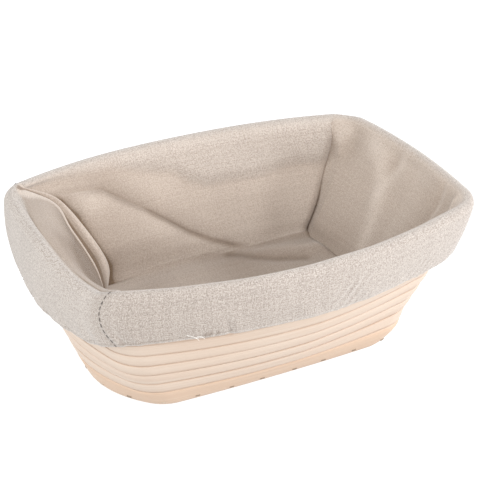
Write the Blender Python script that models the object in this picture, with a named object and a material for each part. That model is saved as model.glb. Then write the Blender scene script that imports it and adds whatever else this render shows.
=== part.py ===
"""Rectangular rattan proving basket (banneton) with its removable linen liner.

The frame is the basket's own: +X along the length, +Y across the width, +Z up,
origin in the middle of the underside. Everything is in metres.

The wall is a stack of bent cane hoops round a flat base board. Each hoop follows
one family of outlines, rounded rectangles with bowed sides, which grow from the
base to the rim. A place on the wall is given by its height and its inset, the
level distance inwards from the wall's outer face. The linen hangs from the rim
as a pocket that is a little smaller than the basket, so its floor stays above the
board. It turns over the rim and comes down outside as a cuff, where an elastic
band draws its hem in.
"""
import math

import bmesh
import bpy
from mathutils import Vector

# Wall
WALL_HEIGHT = 0.079
BASE_COURSE_HEIGHT = 0.012
UPPER_COURSE_COUNT = 9
CANE_THICKNESS = 0.006
CANE_EDGE_ROUNDING = 0.0009
CANE_FACE_CROWN = 0.0001
RIM_ROUNDING = 0.0022
WALL_BULGE = 0.68
END_RISE = 0.0017

# Outlines of the wall's outer face, at the base and at the rim
BASE_OUTLINE = {
    "half_length": 0.0804,
    "half_width": 0.0386,
    "corner_radius": 0.0195,
    "end_bow": 0.0078,
    "side_bow": 0.0012,
}
RIM_OUTLINE = {
    "half_length": 0.1050,
    "half_width": 0.0774,
    "corner_radius": 0.0180,
    "end_bow": 0.0026,
    "side_bow": 0.0144,
}

# Base board and its T-headed brad nails
BOARD_THICKNESS = 0.008
BOARD_CLEARANCE = 0.0009
NAIL_COUNT = 24
NAIL_HEIGHT = 0.003
NAIL_HEAD_WIDTH = 0.0023
NAIL_HEAD_THICKNESS = 0.0006
NAIL_LENGTH = 0.0120
NAIL_GAUGE = 0.0010
NAIL_PROUD = 0.0002

# Outline of the liner's pocket at its floor
POCKET_FLOOR_OUTLINE = {
    "half_length": 0.0665,
    "half_width": 0.0450,
    "corner_radius": 0.0040,
    "end_bow": 0.0015,
    "side_bow": 0.0040,
}

# Liner
CLOTH_THICKNESS = 0.0010
CLOTH_CLEARANCE = 0.0005
CLOTH_WALL_CLEARANCE = 0.0010
POCKET_TOP = 0.0760
POCKET_FLOOR = 0.0245
HEM_HEIGHT = 0.0490
# The cuff's rows from the hem up: share of its height, and clearance from the cane.
# The lower rows leave room for the elastic band.
CUFF_ROWS = ((0.0, 0.0018), (0.22, 0.0018), (0.45, 0.0009), (0.72, 0.0006), (0.95, 0.0005))
# Insets of the fold over the rim, on the cloth's near and far faces
RIM_FOLD = ((0.0011, 0.0004), (0.0049, 0.0056))
POCKET_ROW_SHARES = (0.0, 0.33, 0.67)
ELASTIC_WIDTH = 0.0045
ELASTIC_THICKNESS = 0.0010
THREAD_RADIUS = 0.0003

# Space left between two pieces that touch
GAP = 0.0003

# Stations round one quarter of an outline: 0 to 1 is half of the end, 1 to 2 the
# corner and 2 to 3 half of the long side.
END_STATIONS = (0.0, 0.5)
CORNER_STATIONS = (1.0, 1.25, 1.5, 1.75)
SIDE_STATIONS = (2.0, 2.25, 2.5, 2.75, 3.0)
QUARTER_STATIONS = END_STATIONS + CORNER_STATIONS + SIDE_STATIONS
SEAM_STATION = 1.5
PERIMETER_SAMPLES_PER_STATION = 40

# Colour, roughness and metallic value of each material
CANE_LOOK = ((0.86, 0.67, 0.48, 1.0), 0.55, 0.0)
BOARD_LOOK = ((0.80, 0.63, 0.44, 1.0), 0.60, 0.0)
STEEL_LOOK = ((0.32, 0.30, 0.28, 1.0), 0.35, 1.0)
LINEN_LOOK = ((0.61, 0.52, 0.44, 1.0), 0.95, 0.0)
ELASTIC_LOOK = ((0.82, 0.80, 0.76, 1.0), 0.80, 0.0)
THREAD_LOOK = ((0.42, 0.36, 0.30, 1.0), 0.85, 0.0)


def clear_scene():
    for item in list(bpy.data.objects):
        bpy.data.objects.remove(item, do_unlink=True)


def make_material(name, look):
    colour, roughness, metallic = look
    material = bpy.data.materials.new(name)
    material.use_nodes = True
    shader = material.node_tree.nodes["Principled BSDF"]
    shader.inputs["Base Color"].default_value = colour
    shader.inputs["Roughness"].default_value = roughness
    shader.inputs["Metallic"].default_value = metallic
    return material


def outline_at(height):
    """The outer face's outline at a height: it grows fastest low on the wall."""
    share = height / WALL_HEIGHT
    growth = share + WALL_BULGE * share * (1.0 - share)
    outline = {}
    for key, base_value in BASE_OUTLINE.items():
        outline[key] = base_value + (RIM_OUTLINE[key] - base_value) * growth
    return outline


def quarter_point(outline, inset, station):
    """A point of the outline's first quarter, and the outward direction there."""
    radius = outline["corner_radius"]
    core_length = outline["half_length"] - radius
    core_width = outline["half_width"] - radius
    corner_x = core_length - outline["end_bow"]
    corner_y = core_width - outline["side_bow"]
    end_angle = math.atan(2.0 * outline["end_bow"] / corner_y)
    side_angle = math.pi / 2 - math.atan(2.0 * outline["side_bow"] / corner_x)
    if station <= 1.0:
        share = station
        core = (core_length - outline["end_bow"] * share ** 2, corner_y * share)
        angle = math.atan(2.0 * outline["end_bow"] * share / corner_y)
    elif station <= 2.0:
        core = (corner_x, corner_y)
        angle = end_angle + (side_angle - end_angle) * (station - 1.0)
    else:
        share = 3.0 - station
        core = (corner_x * share, core_width - outline["side_bow"] * share ** 2)
        angle = math.pi / 2 - math.atan(2.0 * outline["side_bow"] * share / corner_x)
    reach = radius - inset
    direction = (math.cos(angle), math.sin(angle))
    return (core[0] + reach * direction[0], core[1] + reach * direction[1]), direction


def pocket_outline_at(height):
    """The liner pocket's outline at a height: straight lines from the rim to its floor."""
    top = outline_at(POCKET_TOP)
    margin = CANE_THICKNESS + CLOTH_WALL_CLEARANCE
    for key in ("half_length", "half_width", "corner_radius"):
        top[key] -= margin
    share = (POCKET_TOP - height) / (POCKET_TOP - POCKET_FLOOR)
    return {key: top[key] + (POCKET_FLOOR_OUTLINE[key] - top[key]) * share for key in top}


def place_on(outline, height, inset, station, x_sign=1, y_sign=1):
    """A point on an outline in one of its four quarters, with the ends' slight rise."""
    (x, y), _ = quarter_point(outline, inset, station)
    share = height / WALL_HEIGHT
    rise = END_RISE * share * (x / RIM_OUTLINE["half_length"]) ** 2
    return Vector((x * x_sign, y * y_sign, height + rise))


def wall_point(height, inset, station, x_sign=1, y_sign=1):
    """A point on the wall in one of its four quarters."""
    return place_on(outline_at(height), height, inset, station, x_sign, y_sign)


def ring_places():
    """(station, x sign, y sign) once round the basket, from +X through +Y."""
    forward = list(QUARTER_STATIONS)
    backward = forward[::-1]
    places = [(station, 1, 1) for station in forward]
    places += [(station, -1, 1) for station in backward[1:]]
    places += [(station, -1, -1) for station in forward[1:]]
    places += [(station, 1, -1) for station in backward[1:-1]]
    return places


def finish_object(name, mesh, material, smooth_angle=40.0):
    mesh.materials.append(material)
    mesh.shade_smooth()
    mesh.set_sharp_from_angle(angle=math.radians(smooth_angle))
    result = bpy.data.objects.new(name, mesh)
    bpy.context.scene.collection.objects.link(result)
    return result


def mesh_from_faces(name, points, faces):
    """A closed mesh whose faces all point outwards."""
    shape = bmesh.new()
    corners = [shape.verts.new(point) for point in points]
    for face in faces:
        shape.faces.new([corners[index] for index in face])
    bmesh.ops.recalc_face_normals(shape, faces=shape.faces)
    mesh = bpy.data.meshes.new(name)
    shape.to_mesh(mesh)
    shape.free()
    return mesh


def make_hoop(name, section, material):
    """A closed hoop: a section of (inset, height) corners carried round the wall."""
    places = ring_places()
    points = []
    for station, x_sign, y_sign in places:
        for inset, height in section:
            points.append(wall_point(height, inset, station, x_sign, y_sign))
    faces = []
    size = len(section)
    for index in range(len(places)):
        here = index * size
        ahead = ((index + 1) % len(places)) * size
        for corner in range(size):
            after = (corner + 1) % size
            faces.append((here + corner, ahead + corner, ahead + after, here + after))
    return finish_object(name, mesh_from_faces(name, points, faces), material)


def cane_section(low, high):
    """A cane's section: flat where it meets its neighbours, rounded on its faces."""
    edge = CANE_EDGE_ROUNDING
    quarter = (high - low) / 4
    inner = CANE_THICKNESS
    return [
        (edge, low), (CANE_FACE_CROWN, low + quarter),
        (CANE_FACE_CROWN, high - quarter), (edge, high),
        (inner - edge, high), (inner, high - quarter), (inner, low + quarter), (inner - edge, low),
    ]


def rim_section(low, high):
    """The top cane's section, which has a round top."""
    edge = CANE_EDGE_ROUNDING
    quarter = (high - low) / 4
    inner = CANE_THICKNESS
    return [
        (edge, low), (0.0, low + quarter), (0.0, high - RIM_ROUNDING), (edge, high - edge),
        (RIM_ROUNDING, high), (inner - RIM_ROUNDING, high),
        (inner - edge, high - edge), (inner, high - RIM_ROUNDING), (inner, low + quarter),
        (inner - edge, low),
    ]


def course_heights():
    """(bottom, top) of each cane course, with a gap above all but the last."""
    pitch = (WALL_HEIGHT - BASE_COURSE_HEIGHT) / UPPER_COURSE_COUNT
    heights = [(0.0, BASE_COURSE_HEIGHT - GAP)]
    for number in range(UPPER_COURSE_COUNT):
        low = BASE_COURSE_HEIGHT + number * pitch
        heights.append((low, low + pitch - GAP))
    heights[-1] = (heights[-1][0], WALL_HEIGHT)
    return heights


def make_cane_courses(material):
    courses = []
    heights = course_heights()
    for number, (low, high) in enumerate(heights, start=1):
        shape = rim_section if number == len(heights) else cane_section
        courses.append(make_hoop(f"cane_course_{number:02d}", shape(low, high), material))
    return courses


def make_base_board(material):
    """The flat board inside the lowest course, its edge sloping with the wall."""
    places = ring_places()
    inset = CANE_THICKNESS + BOARD_CLEARANCE
    heights = (0.0, BOARD_THICKNESS / 2, BOARD_THICKNESS)
    points = []
    for height in heights:
        for station, x_sign, y_sign in places:
            point = wall_point(height, inset, station, x_sign, y_sign)
            point.z = height
            points.append(point)
    count = len(places)
    last = count * (len(heights) - 1)
    faces = [tuple(range(count)), tuple(range(last + count - 1, last - 1, -1))]
    for start in range(0, last, count):
        for index in range(count):
            ahead = (index + 1) % count
            faces.append((start + index, start + ahead, start + count + ahead, start + count + index))
    return finish_object("base_board", mesh_from_faces("base_board", points, faces), material)


def perimeter_frames(height, count):
    """Places evenly spaced round the wall's outer face: (point, outward direction)."""
    samples = []
    steps = 3 * PERIMETER_SAMPLES_PER_STATION
    outline = outline_at(height)
    quarters = ((1, 1, False), (-1, 1, True), (-1, -1, False), (1, -1, True))
    for x_sign, y_sign, backwards in quarters:
        order = range(steps, 0, -1) if backwards else range(steps)
        for step in order:
            (x, y), (nx, ny) = quarter_point(outline, 0.0, 3.0 * step / steps)
            point = Vector((x * x_sign, y * y_sign, height))
            samples.append((point, Vector((nx * x_sign, ny * y_sign, 0.0))))
    lengths = [0.0]
    for index in range(len(samples)):
        ahead = samples[(index + 1) % len(samples)][0]
        lengths.append(lengths[-1] + (ahead - samples[index][0]).length)
    frames = []
    for number in range(count):
        target = lengths[-1] * (number + 0.5) / count
        index = next(i for i, length in enumerate(lengths[1:]) if length >= target)
        frames.append(samples[index])
    return frames


def nail_geometry(point, outward, margin):
    """Corners and faces of one T-headed nail driven inwards, grown by a margin."""
    along = Vector((-outward.y, outward.x, 0.0))
    head = NAIL_HEAD_WIDTH / 2 + margin
    shank = NAIL_GAUGE / 2 + margin
    front = NAIL_PROUD + margin
    back = NAIL_PROUD - NAIL_HEAD_THICKNESS - margin
    tip = NAIL_PROUD - NAIL_LENGTH - margin
    shape = [
        (-head, front), (head, front), (head, back), (shank, back),
        (shank, tip), (-shank, tip), (-shank, back), (-head, back),
    ]
    points = []
    for level in (-shank, shank):
        for side, depth in shape:
            points.append(point + along * side + outward * depth + Vector((0.0, 0.0, level)))
    count = len(shape)
    faces = [
        (0, 7, 6, 3, 2, 1), (3, 6, 5, 4),
        (8, 9, 10, 11, 14, 15), (11, 12, 13, 14),
    ]
    for index in range(count):
        ahead = (index + 1) % count
        faces.append((index, ahead, count + ahead, count + index))
    return points, faces


def make_nails(material):
    """The nails that hold the lowest cane to the board, and their holes' cutter."""
    cutter_points = []
    cutter_faces = []
    for number, (point, outward) in enumerate(perimeter_frames(NAIL_HEIGHT, NAIL_COUNT), start=1):
        name = f"base_nail_{number:02d}"
        points, faces = nail_geometry(Vector(), outward, 0.0)
        nail = finish_object(name, mesh_from_faces(name, points, faces), material)
        nail.location = point
        points, faces = nail_geometry(point, outward, GAP)
        start = len(cutter_points)
        cutter_points += points
        cutter_faces += [tuple(start + index for index in face) for face in faces]
    mesh = mesh_from_faces("nail_holes", cutter_points, cutter_faces)
    cutter = bpy.data.objects.new("nail_holes", mesh)
    bpy.context.scene.collection.objects.link(cutter)
    cutter.hide_render = True
    cutter.display_type = "WIRE"
    return cutter


def cut(target, cutter):
    modifier = target.modifiers.new("nail_holes", "BOOLEAN")
    modifier.operation = "DIFFERENCE"
    modifier.solver = "EXACT"
    modifier.object = cutter


def cloth_profile():
    """The cloth from the hem, over the rim and down to the floor's edge.

    Each row is (near, far): the (outline, inset, height) of the face towards the
    wood and of the face away from it.
    """
    thick = CLOTH_THICKNESS
    top = WALL_HEIGHT + CLOTH_CLEARANCE
    rim = outline_at(WALL_HEIGHT)
    rows = []
    for share, clearance in CUFF_ROWS:
        height = HEM_HEIGHT + (WALL_HEIGHT - HEM_HEIGHT) * share
        wall = outline_at(height)
        rows.append(((wall, -clearance, height), (wall, -clearance - thick, height)))
    for near, far in RIM_FOLD:
        rows.append(((rim, near, top), (rim, far, top + thick)))
    for share in POCKET_ROW_SHARES:
        height = POCKET_TOP + (POCKET_FLOOR - POCKET_TOP) * share
        pocket = pocket_outline_at(height)
        rows.append(((pocket, 0.0, height), (pocket, thick, height)))
    floor = pocket_outline_at(POCKET_FLOOR)
    rows.append(((floor, 0.0, POCKET_FLOOR), (floor, thick, POCKET_FLOOR + thick)))
    return rows


def make_sheet(name, near_rows, far_rows, material):
    """A closed solid between two grids of points with the same rows and columns."""
    row_count = len(near_rows)
    column_count = len(near_rows[0])
    layer = row_count * column_count
    points = [point for row in near_rows for point in row]
    points += [point for row in far_rows for point in row]

    def at(row, column, side):
        return side * layer + row * column_count + column

    faces = []
    for row in range(row_count - 1):
        for column in range(column_count - 1):
            for side in (0, 1):
                faces.append((at(row, column, side), at(row, column + 1, side),
                              at(row + 1, column + 1, side), at(row + 1, column, side)))
    for column in range(column_count - 1):
        for row in (0, row_count - 1):
            faces.append((at(row, column, 0), at(row, column + 1, 0),
                          at(row, column + 1, 1), at(row, column, 1)))
    for row in range(row_count - 1):
        for column in (0, column_count - 1):
            faces.append((at(row, column, 0), at(row + 1, column, 0),
                          at(row + 1, column, 1), at(row, column, 1)))
    return finish_object(name, mesh_from_faces(name, points, faces), material)


def seam_margin(outline, inset):
    """Half of the seam's gap as a share of the corner's turn."""
    return GAP / ((outline["corner_radius"] - inset) * math.pi / 2)


def long_side_row(row, y_sign):
    """Points along a long side, from the left corner's seam to the right one's."""
    outline, inset, height = row
    stations = [SEAM_STATION + seam_margin(outline, inset), 1.75] + list(SIDE_STATIONS)
    right = [place_on(outline, height, inset, station, 1, y_sign) for station in stations]
    left = [place_on(outline, height, inset, station, -1, y_sign) for station in stations]
    return left + right[-2::-1]


def end_row(row, x_sign):
    """Points across an end, from the front corner's seam to the back one's."""
    outline, inset, height = row
    stations = list(END_STATIONS) + [1.0, 1.25, SEAM_STATION - seam_margin(outline, inset)]
    back = [place_on(outline, height, inset, station, x_sign, 1) for station in stations]
    front = [place_on(outline, height, inset, station, x_sign, -1) for station in stations]
    return front[::-1] + back[1:]


def floor_rows(row, front_row):
    """Rows across the floor, their ends on the curved seams with the end panels."""
    left = end_row(row, -1)
    right = end_row(row, 1)
    width = front_row[-1].x - front_row[0].x
    shares = [(point.x - front_row[0].x) / width for point in front_row]
    rows = []
    for start, end in zip(left[1:-1], right[1:-1]):
        start = start + Vector((GAP, 0.0, 0.0))
        end = end - Vector((GAP, 0.0, 0.0))
        rows.append([start.lerp(end, share) for share in shares])
    return rows


def make_centre_panel(material):
    """One cloth: front cuff, front wall, floor, back wall and back cuff."""
    sides = []
    for side in (0, 1):
        profile = [row[side] for row in cloth_profile()]
        front = [long_side_row(row, -1) for row in profile]
        back = [long_side_row(row, 1) for row in profile]
        sides.append(front + floor_rows(profile[-1], front[-1]) + back[::-1])
    return make_sheet("liner_centre_panel", sides[0], sides[1], material)


def make_end_panel(name, x_sign, material):
    """One end's cuff and wall, down to the seam along the floor."""
    near = [end_row(row[0], x_sign) for row in cloth_profile()]
    far = [end_row(row[1], x_sign) for row in cloth_profile()]
    for rows in (near, far):
        rows[-1] = [point + Vector((x_sign * GAP, 0.0, GAP)) for point in rows[-1]]
    return make_sheet(name, near, far, material)


def make_hem_elastic(material):
    """The band inside the hem, between the cuff's cloth and the cane."""
    outer = -CLOTH_CLEARANCE - ELASTIC_THICKNESS
    low = HEM_HEIGHT + GAP
    section = [
        (-CLOTH_CLEARANCE, low), (outer, low),
        (outer, low + ELASTIC_WIDTH), (-CLOTH_CLEARANCE, low + ELASTIC_WIDTH),
    ]
    return make_hoop("hem_elastic", section, material)


def make_hem_thread(material):
    """The row of stitching that closes the hem round the elastic."""
    hem_clearance = CUFF_ROWS[0][1]
    centre = -(hem_clearance + CLOTH_THICKNESS + GAP + THREAD_RADIUS)
    height = HEM_HEIGHT + GAP + ELASTIC_WIDTH
    section = [
        (centre - THREAD_RADIUS, height), (centre, height + THREAD_RADIUS),
        (centre + THREAD_RADIUS, height), (centre, height - THREAD_RADIUS),
    ]
    return make_hoop("hem_thread", section, material)


def seam_path(x_sign):
    """The seam's line on the cloth's far face, from just over the front hem to the back."""
    lift = GAP + THREAD_RADIUS
    rows = [far for _, far in cloth_profile()[1:]]
    floor_height = rows[-1][2]
    lifted = []
    for outline, inset, height in rows:
        over_rim = height > WALL_HEIGHT
        if over_rim or height == floor_height:
            height += lift
        if not over_rim:
            inset += lift if inset > 0 else -lift
        lifted.append((outline, inset, height))
    front = [place_on(outline, height, inset, SEAM_STATION, x_sign, -1)
             for outline, inset, height in lifted]
    back = [Vector((point.x, -point.y, point.z)) for point in front[::-1]]
    floor = end_row(lifted[-1], x_sign)[1:-1]
    return front + floor + back


def make_seam_thread(name, x_sign, material):
    """The thread of one U-shaped seam: down one corner, along the floor, up the next."""
    curve = bpy.data.curves.new(name, "CURVE")
    curve.dimensions = "3D"
    curve.bevel_depth = THREAD_RADIUS
    curve.bevel_resolution = 0
    curve.use_fill_caps = True
    route = seam_path(x_sign)
    spline = curve.splines.new("POLY")
    spline.points.add(len(route) - 1)
    for point, place in zip(spline.points, route):
        point.co = (place.x, place.y, place.z, 1.0)
    curve.materials.append(material)
    thread = bpy.data.objects.new(name, curve)
    bpy.context.scene.collection.objects.link(thread)
    return thread


def build():
    clear_scene()
    cane = make_material("rattan_cane", CANE_LOOK)
    board = make_material("base_plywood", BOARD_LOOK)
    steel = make_material("nail_steel", STEEL_LOOK)
    linen = make_material("linen", LINEN_LOOK)
    elastic = make_material("elastic", ELASTIC_LOOK)
    thread = make_material("sewing_thread", THREAD_LOOK)

    courses = make_cane_courses(cane)
    base_board = make_base_board(board)
    holes = make_nails(steel)
    cut(courses[0], holes)
    cut(base_board, holes)

    make_centre_panel(linen)
    make_end_panel("liner_left_end_panel", -1, linen)
    make_end_panel("liner_right_end_panel", 1, linen)
    make_hem_elastic(elastic)
    make_hem_thread(thread)
    make_seam_thread("left_seam_thread", -1, thread)
    make_seam_thread("right_seam_thread", 1, thread)


build()
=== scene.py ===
"""Looks of the rectangular rattan proving basket with its linen liner.

Lengths are in metres in the basket's own frame: +X along it, +Y across it, +Z up. A
place round the basket is a ring position from 0 to 12: it starts at the middle of the
+X end and goes through +Y, three units to each quarter of the outline.
"""
import math

import bpy
import numpy as np
from mathutils import Matrix, Vector


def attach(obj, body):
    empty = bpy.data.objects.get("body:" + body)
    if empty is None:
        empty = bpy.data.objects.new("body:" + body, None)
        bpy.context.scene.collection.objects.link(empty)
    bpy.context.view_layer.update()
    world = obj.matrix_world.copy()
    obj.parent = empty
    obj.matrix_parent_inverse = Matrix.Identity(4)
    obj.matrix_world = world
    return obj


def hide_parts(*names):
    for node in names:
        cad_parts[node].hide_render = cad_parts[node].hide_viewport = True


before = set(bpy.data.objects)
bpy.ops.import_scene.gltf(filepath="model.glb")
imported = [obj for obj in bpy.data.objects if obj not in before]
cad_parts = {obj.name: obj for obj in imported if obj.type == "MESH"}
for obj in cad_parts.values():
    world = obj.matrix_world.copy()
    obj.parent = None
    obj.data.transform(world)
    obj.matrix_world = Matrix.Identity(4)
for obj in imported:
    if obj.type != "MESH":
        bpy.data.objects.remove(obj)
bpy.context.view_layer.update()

# Driving dimensions, as in the CAD part
WALL_HEIGHT = 0.079
BASE_COURSE_HEIGHT = 0.012
UPPER_COURSE_COUNT = 9
CANE_THICKNESS = 0.006
END_RISE = 0.0017
# Outlines: half length, half width, corner radius, bow of the ends, bow of the sides
BASE_OUTLINE = np.array((0.0804, 0.0386, 0.0195, 0.0078, 0.0012))
RIM_OUTLINE = np.array((0.1050, 0.0774, 0.0180, 0.0026, 0.0144))
POCKET_RIM_OUTLINE = np.array((0.0978, 0.0700, 0.0110, 0.0026, 0.0140))
POCKET_FLOOR_OUTLINE = np.array((0.0665, 0.0450, 0.0035, 0.0015, 0.0040))
POCKET_TOP = 0.0770
POCKET_FLOOR = 0.0250
CLOTH_THICKNESS = 0.0009

MM = 0.001
FULL_RING = 12.0
# Ring positions of the seams at the liner's corners
BACK_RIGHT, BACK_LEFT, FRONT_LEFT, FRONT_RIGHT = 1.97, 4.10, 7.38, 10.90
# How much the wall above its foot bulges outwards, round the ring: least at the front right
BULGE_RINGS = (0.0, 0.8, 1.5, 8.6, 9.1, 9.9, 10.2, 10.9, 11.3, 12.0)
BULGES = (0.68, 0.68, 0.68, 0.68, 0.66, 0.16, 0.06, 0.06, 0.20, 0.68)
FOOT_BULGE = 0.68
FOOT_HEIGHT = 0.006
FOOT_EASE = 0.012
# The rim's dip at the front left: its depth, ring position and width round the ring
RIM_SAG = 0.0045
RIM_SAG_RING = 6.78
RIM_SAG_WIDTH = 0.55
# The cane's joints dip with the rim from this height up, fully so over this reach
CANE_SAG_START = 0.045
CANE_SAG_REACH = 0.034


# ---------------------------------------------------------------- shapes

def smooth(value):
    """Smooth step from 0 to 1."""
    value = np.clip(value, 0.0, 1.0)
    return value * value * (3.0 - 2.0 * value)


def bump(distance, width):
    """1 in the middle, falling smoothly to nothing a few widths away."""
    return np.exp(-(distance / width) ** 2)


def falloff(distance, length):
    """1 up to a distance of 0, then dying away over a length."""
    return np.exp(-np.clip(distance, 0.0, None) / length)


def spot(a, b, middle, width, squash=1.0):
    """1 in the middle of a round or oval patch of a plane, falling smoothly away from it."""
    return bump(np.hypot(a - middle[0], (b - middle[1]) * squash), width)


def spline(values, knots, at):
    """Smooth interpolation through values at knots, along the first axis."""
    values = np.asarray(values, float)
    knots = np.asarray(knots, float)
    slopes = np.gradient(values, knots, axis=0)
    index = np.clip(np.searchsorted(knots, at, side="right") - 1, 0, len(knots) - 2)
    span = knots[index + 1] - knots[index]
    t = (at - knots[index]) / span
    shape = t.shape + (1,) * (values.ndim - 1)
    t, span = t.reshape(shape), span.reshape(shape)
    return ((2 * t ** 3 - 3 * t ** 2 + 1) * values[index]
            + (t ** 3 - 2 * t ** 2 + t) * span * slopes[index]
            + (-2 * t ** 3 + 3 * t ** 2) * values[index + 1]
            + (t ** 3 - t ** 2) * span * slopes[index + 1])


def ripples(a, b, wavelength, seed, waves=9):
    """Soft irregular ripples of a surface, about -1 to 1, from seeded sine waves."""
    rng = np.random.default_rng(seed)
    total = 0.0
    for _ in range(waves):
        angle = rng.uniform(0.0, math.tau)
        length = wavelength * rng.uniform(0.6, 1.7)
        phase = rng.uniform(0.0, math.tau)
        along = a * math.cos(angle) + b * math.sin(angle)
        total = total + np.sin(along * math.tau / length + phase)
    return total / math.sqrt(waves)


def wall_outline(height, ring):
    """Outline of the wall's outer face at a height; its front right corner bulges least."""
    height = np.asarray(height)
    share = np.clip(height / WALL_HEIGHT, 0.0, 1.0)
    above_foot = smooth((height - FOOT_HEIGHT) / FOOT_EASE)
    bulge = np.interp(np.mod(ring, FULL_RING), BULGE_RINGS, BULGES)
    bulge = FOOT_BULGE + (bulge - FOOT_BULGE) * above_foot
    growth = share + bulge * share * (1.0 - share)
    return BASE_OUTLINE + (RIM_OUTLINE - BASE_OUTLINE) * growth[..., None]


def rim_sag(ring):
    """How far the rim dips where the left end meets the front."""
    return RIM_SAG * bump(np.mod(ring, FULL_RING) - RIM_SAG_RING, RIM_SAG_WIDTH)


def pocket_outline(share):
    """Outline of the liner's pocket, from the rim at 0 to its floor at 1."""
    share = np.asarray(share)[..., None]
    return POCKET_RIM_OUTLINE + (POCKET_FLOOR_OUTLINE - POCKET_RIM_OUTLINE) * share


def on_outline(outline, offset, ring):
    """Level position and outward direction at an offset outside an outline."""
    half_length, half_width, radius, end_bow, side_bow = np.moveaxis(outline, -1, 0)
    ring = np.mod(ring, FULL_RING)
    quarter = np.floor(ring / 3.0).astype(int)
    along = ring - 3.0 * quarter
    station = np.where(quarter % 2 == 0, along, 3.0 - along)
    x_sign = np.where((quarter == 0) | (quarter == 3), 1.0, -1.0)
    y_sign = np.where(quarter < 2, 1.0, -1.0)
    core_x = half_length - radius
    core_y = half_width - radius
    corner_x = core_x - end_bow
    corner_y = core_y - side_bow
    end_share = np.clip(station, 0.0, 1.0)
    side_share = np.clip(3.0 - station, 0.0, 1.0)
    end_angle = np.arctan(2.0 * end_bow * end_share / corner_y)
    side_angle = math.pi / 2 - np.arctan(2.0 * side_bow * side_share / corner_x)
    turn = np.clip(station - 1.0, 0.0, 1.0)
    angle = end_angle + (side_angle - end_angle) * turn
    x = np.where(station < 1.0, core_x - end_bow * end_share ** 2, corner_x * side_share)
    y = np.where(station < 2.0, corner_y * end_share, core_y - side_bow * side_share ** 2)
    reach = radius + offset
    across, forth = np.cos(angle), np.sin(angle)
    place = (x + reach * across) * x_sign, (y + reach * forth) * y_sign
    outward = across * x_sign, forth * y_sign
    return np.stack(np.broadcast_arrays(*place), -1), np.stack(np.broadcast_arrays(*outward), -1)


def in_space(place, height):
    """Adds the height to a level position, with the slight rise towards the ends."""
    height = np.broadcast_to(height, place.shape[:-1])
    rise = END_RISE * height / WALL_HEIGHT * (place[..., 0] / RIM_OUTLINE[0]) ** 2
    return np.concatenate((place, (height + rise)[..., None]), -1)


def lengths_along(points, axis):
    """Running length of a grid of points along one axis."""
    steps = np.linalg.norm(np.diff(points, axis=axis), axis=-1)
    total = np.cumsum(steps, axis=axis)
    start = np.zeros_like(np.take(total, [0], axis=axis))
    return np.concatenate((start, total), axis)


def along_path(values, lengths, at):
    """Values with three parts, read at lengths along a path."""
    return np.stack([np.interp(at, lengths, values[:, axis]) for axis in range(3)], -1)


def cloth_lay(points):
    """Metre coordinates on the cloth: across each row from its middle, and down the rows."""
    across = lengths_along(points, 1)
    across = across - across[:, -1:] / 2.0
    down = lengths_along(points, 0)
    down = np.broadcast_to(np.median(down, axis=1)[:, None], across.shape)
    return np.stack((across, down), -1)


def grid_normals(points):
    """Unit normals of a grid of points, from its rows and columns."""
    down = np.gradient(points, axis=0)
    across = np.gradient(points, axis=1)
    normals = np.cross(across, down)
    return normals / np.maximum(np.linalg.norm(normals, axis=-1, keepdims=True), 1e-12)


# ---------------------------------------------------------------- meshes

def add_object(name, mesh, material, body):
    """A new object of one material that rides with a body."""
    mesh.materials.append(material)
    mesh.shade_smooth()
    result = bpy.data.objects.new(name, mesh)
    bpy.context.scene.collection.objects.link(result)
    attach(result, body)
    return result


def grid_faces(rows, columns, close_rows=False, close_columns=False):
    """Four-sided faces over a grid, and the place in it of each of their corners."""
    row_steps = rows if close_rows else rows - 1
    column_steps = columns if close_columns else columns - 1
    row, column = np.meshgrid(np.arange(row_steps), np.arange(column_steps), indexing="ij")
    next_row, next_column = (row + 1) % rows, (column + 1) % columns
    corners = [row * columns + column, row * columns + next_column,
               next_row * columns + next_column, next_row * columns + column]
    steps = [(row, column), (row, column + 1), (row + 1, column + 1), (row + 1, column)]
    faces = np.stack(corners, -1).reshape(-1, 4)
    places = np.stack([np.stack(step, -1) for step in steps], -2).reshape(-1, 2)
    return faces, places


def grid_mesh(name, points, maps, close_rows=False, close_columns=False):
    """A mesh over a grid of points, with named coordinate maps one step larger if it closes."""
    rows, columns = points.shape[:2]
    faces, places = grid_faces(rows, columns, close_rows, close_columns)
    mesh = bpy.data.meshes.new(name)
    mesh.from_pydata(points.reshape(-1, 3).tolist(), [], faces.tolist())
    for map_name, values in maps.items():
        layer = mesh.uv_layers.new(name=map_name)
        layer.data.foreach_set("uv", values[places[:, 0], places[:, 1]].ravel())
    mesh.update()
    return mesh


def thicken(cloth):
    modifier = cloth.modifiers.new("thickness", "SOLIDIFY")
    modifier.thickness = CLOTH_THICKNESS
    modifier.offset = 0.0
    modifier.use_even_offset = False


# ---------------------------------------------------------------- materials

# Linen: its threads, its colours on the cuff and in the pocket, and its painted highlights on crests and
# painted shade in creases
THREAD_WIDTH = 0.00064
THREAD_WANDER = 0.0012
LINEN_DARK = (0.285, 0.228, 0.190)
LINEN_LIGHT = (0.615, 0.528, 0.458)
# The cuff's cooler tint and the pocket's warmer one are painted light, standing in for the warm light the
# pocket's cloth bounces onto itself
CUFF_TINT = (0.845, 0.885, 0.93)
POCKET_TINT = (1.0, 0.995, 0.99)
PAINTED_HIGHLIGHT_TINT = (1.26, 1.31, 1.36)
PAINTED_SHADE_TINT = (0.32, 0.25, 0.185)
TWIST_GRAIN = 2400.0
ELASTIC_RIB = 0.0007


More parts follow.
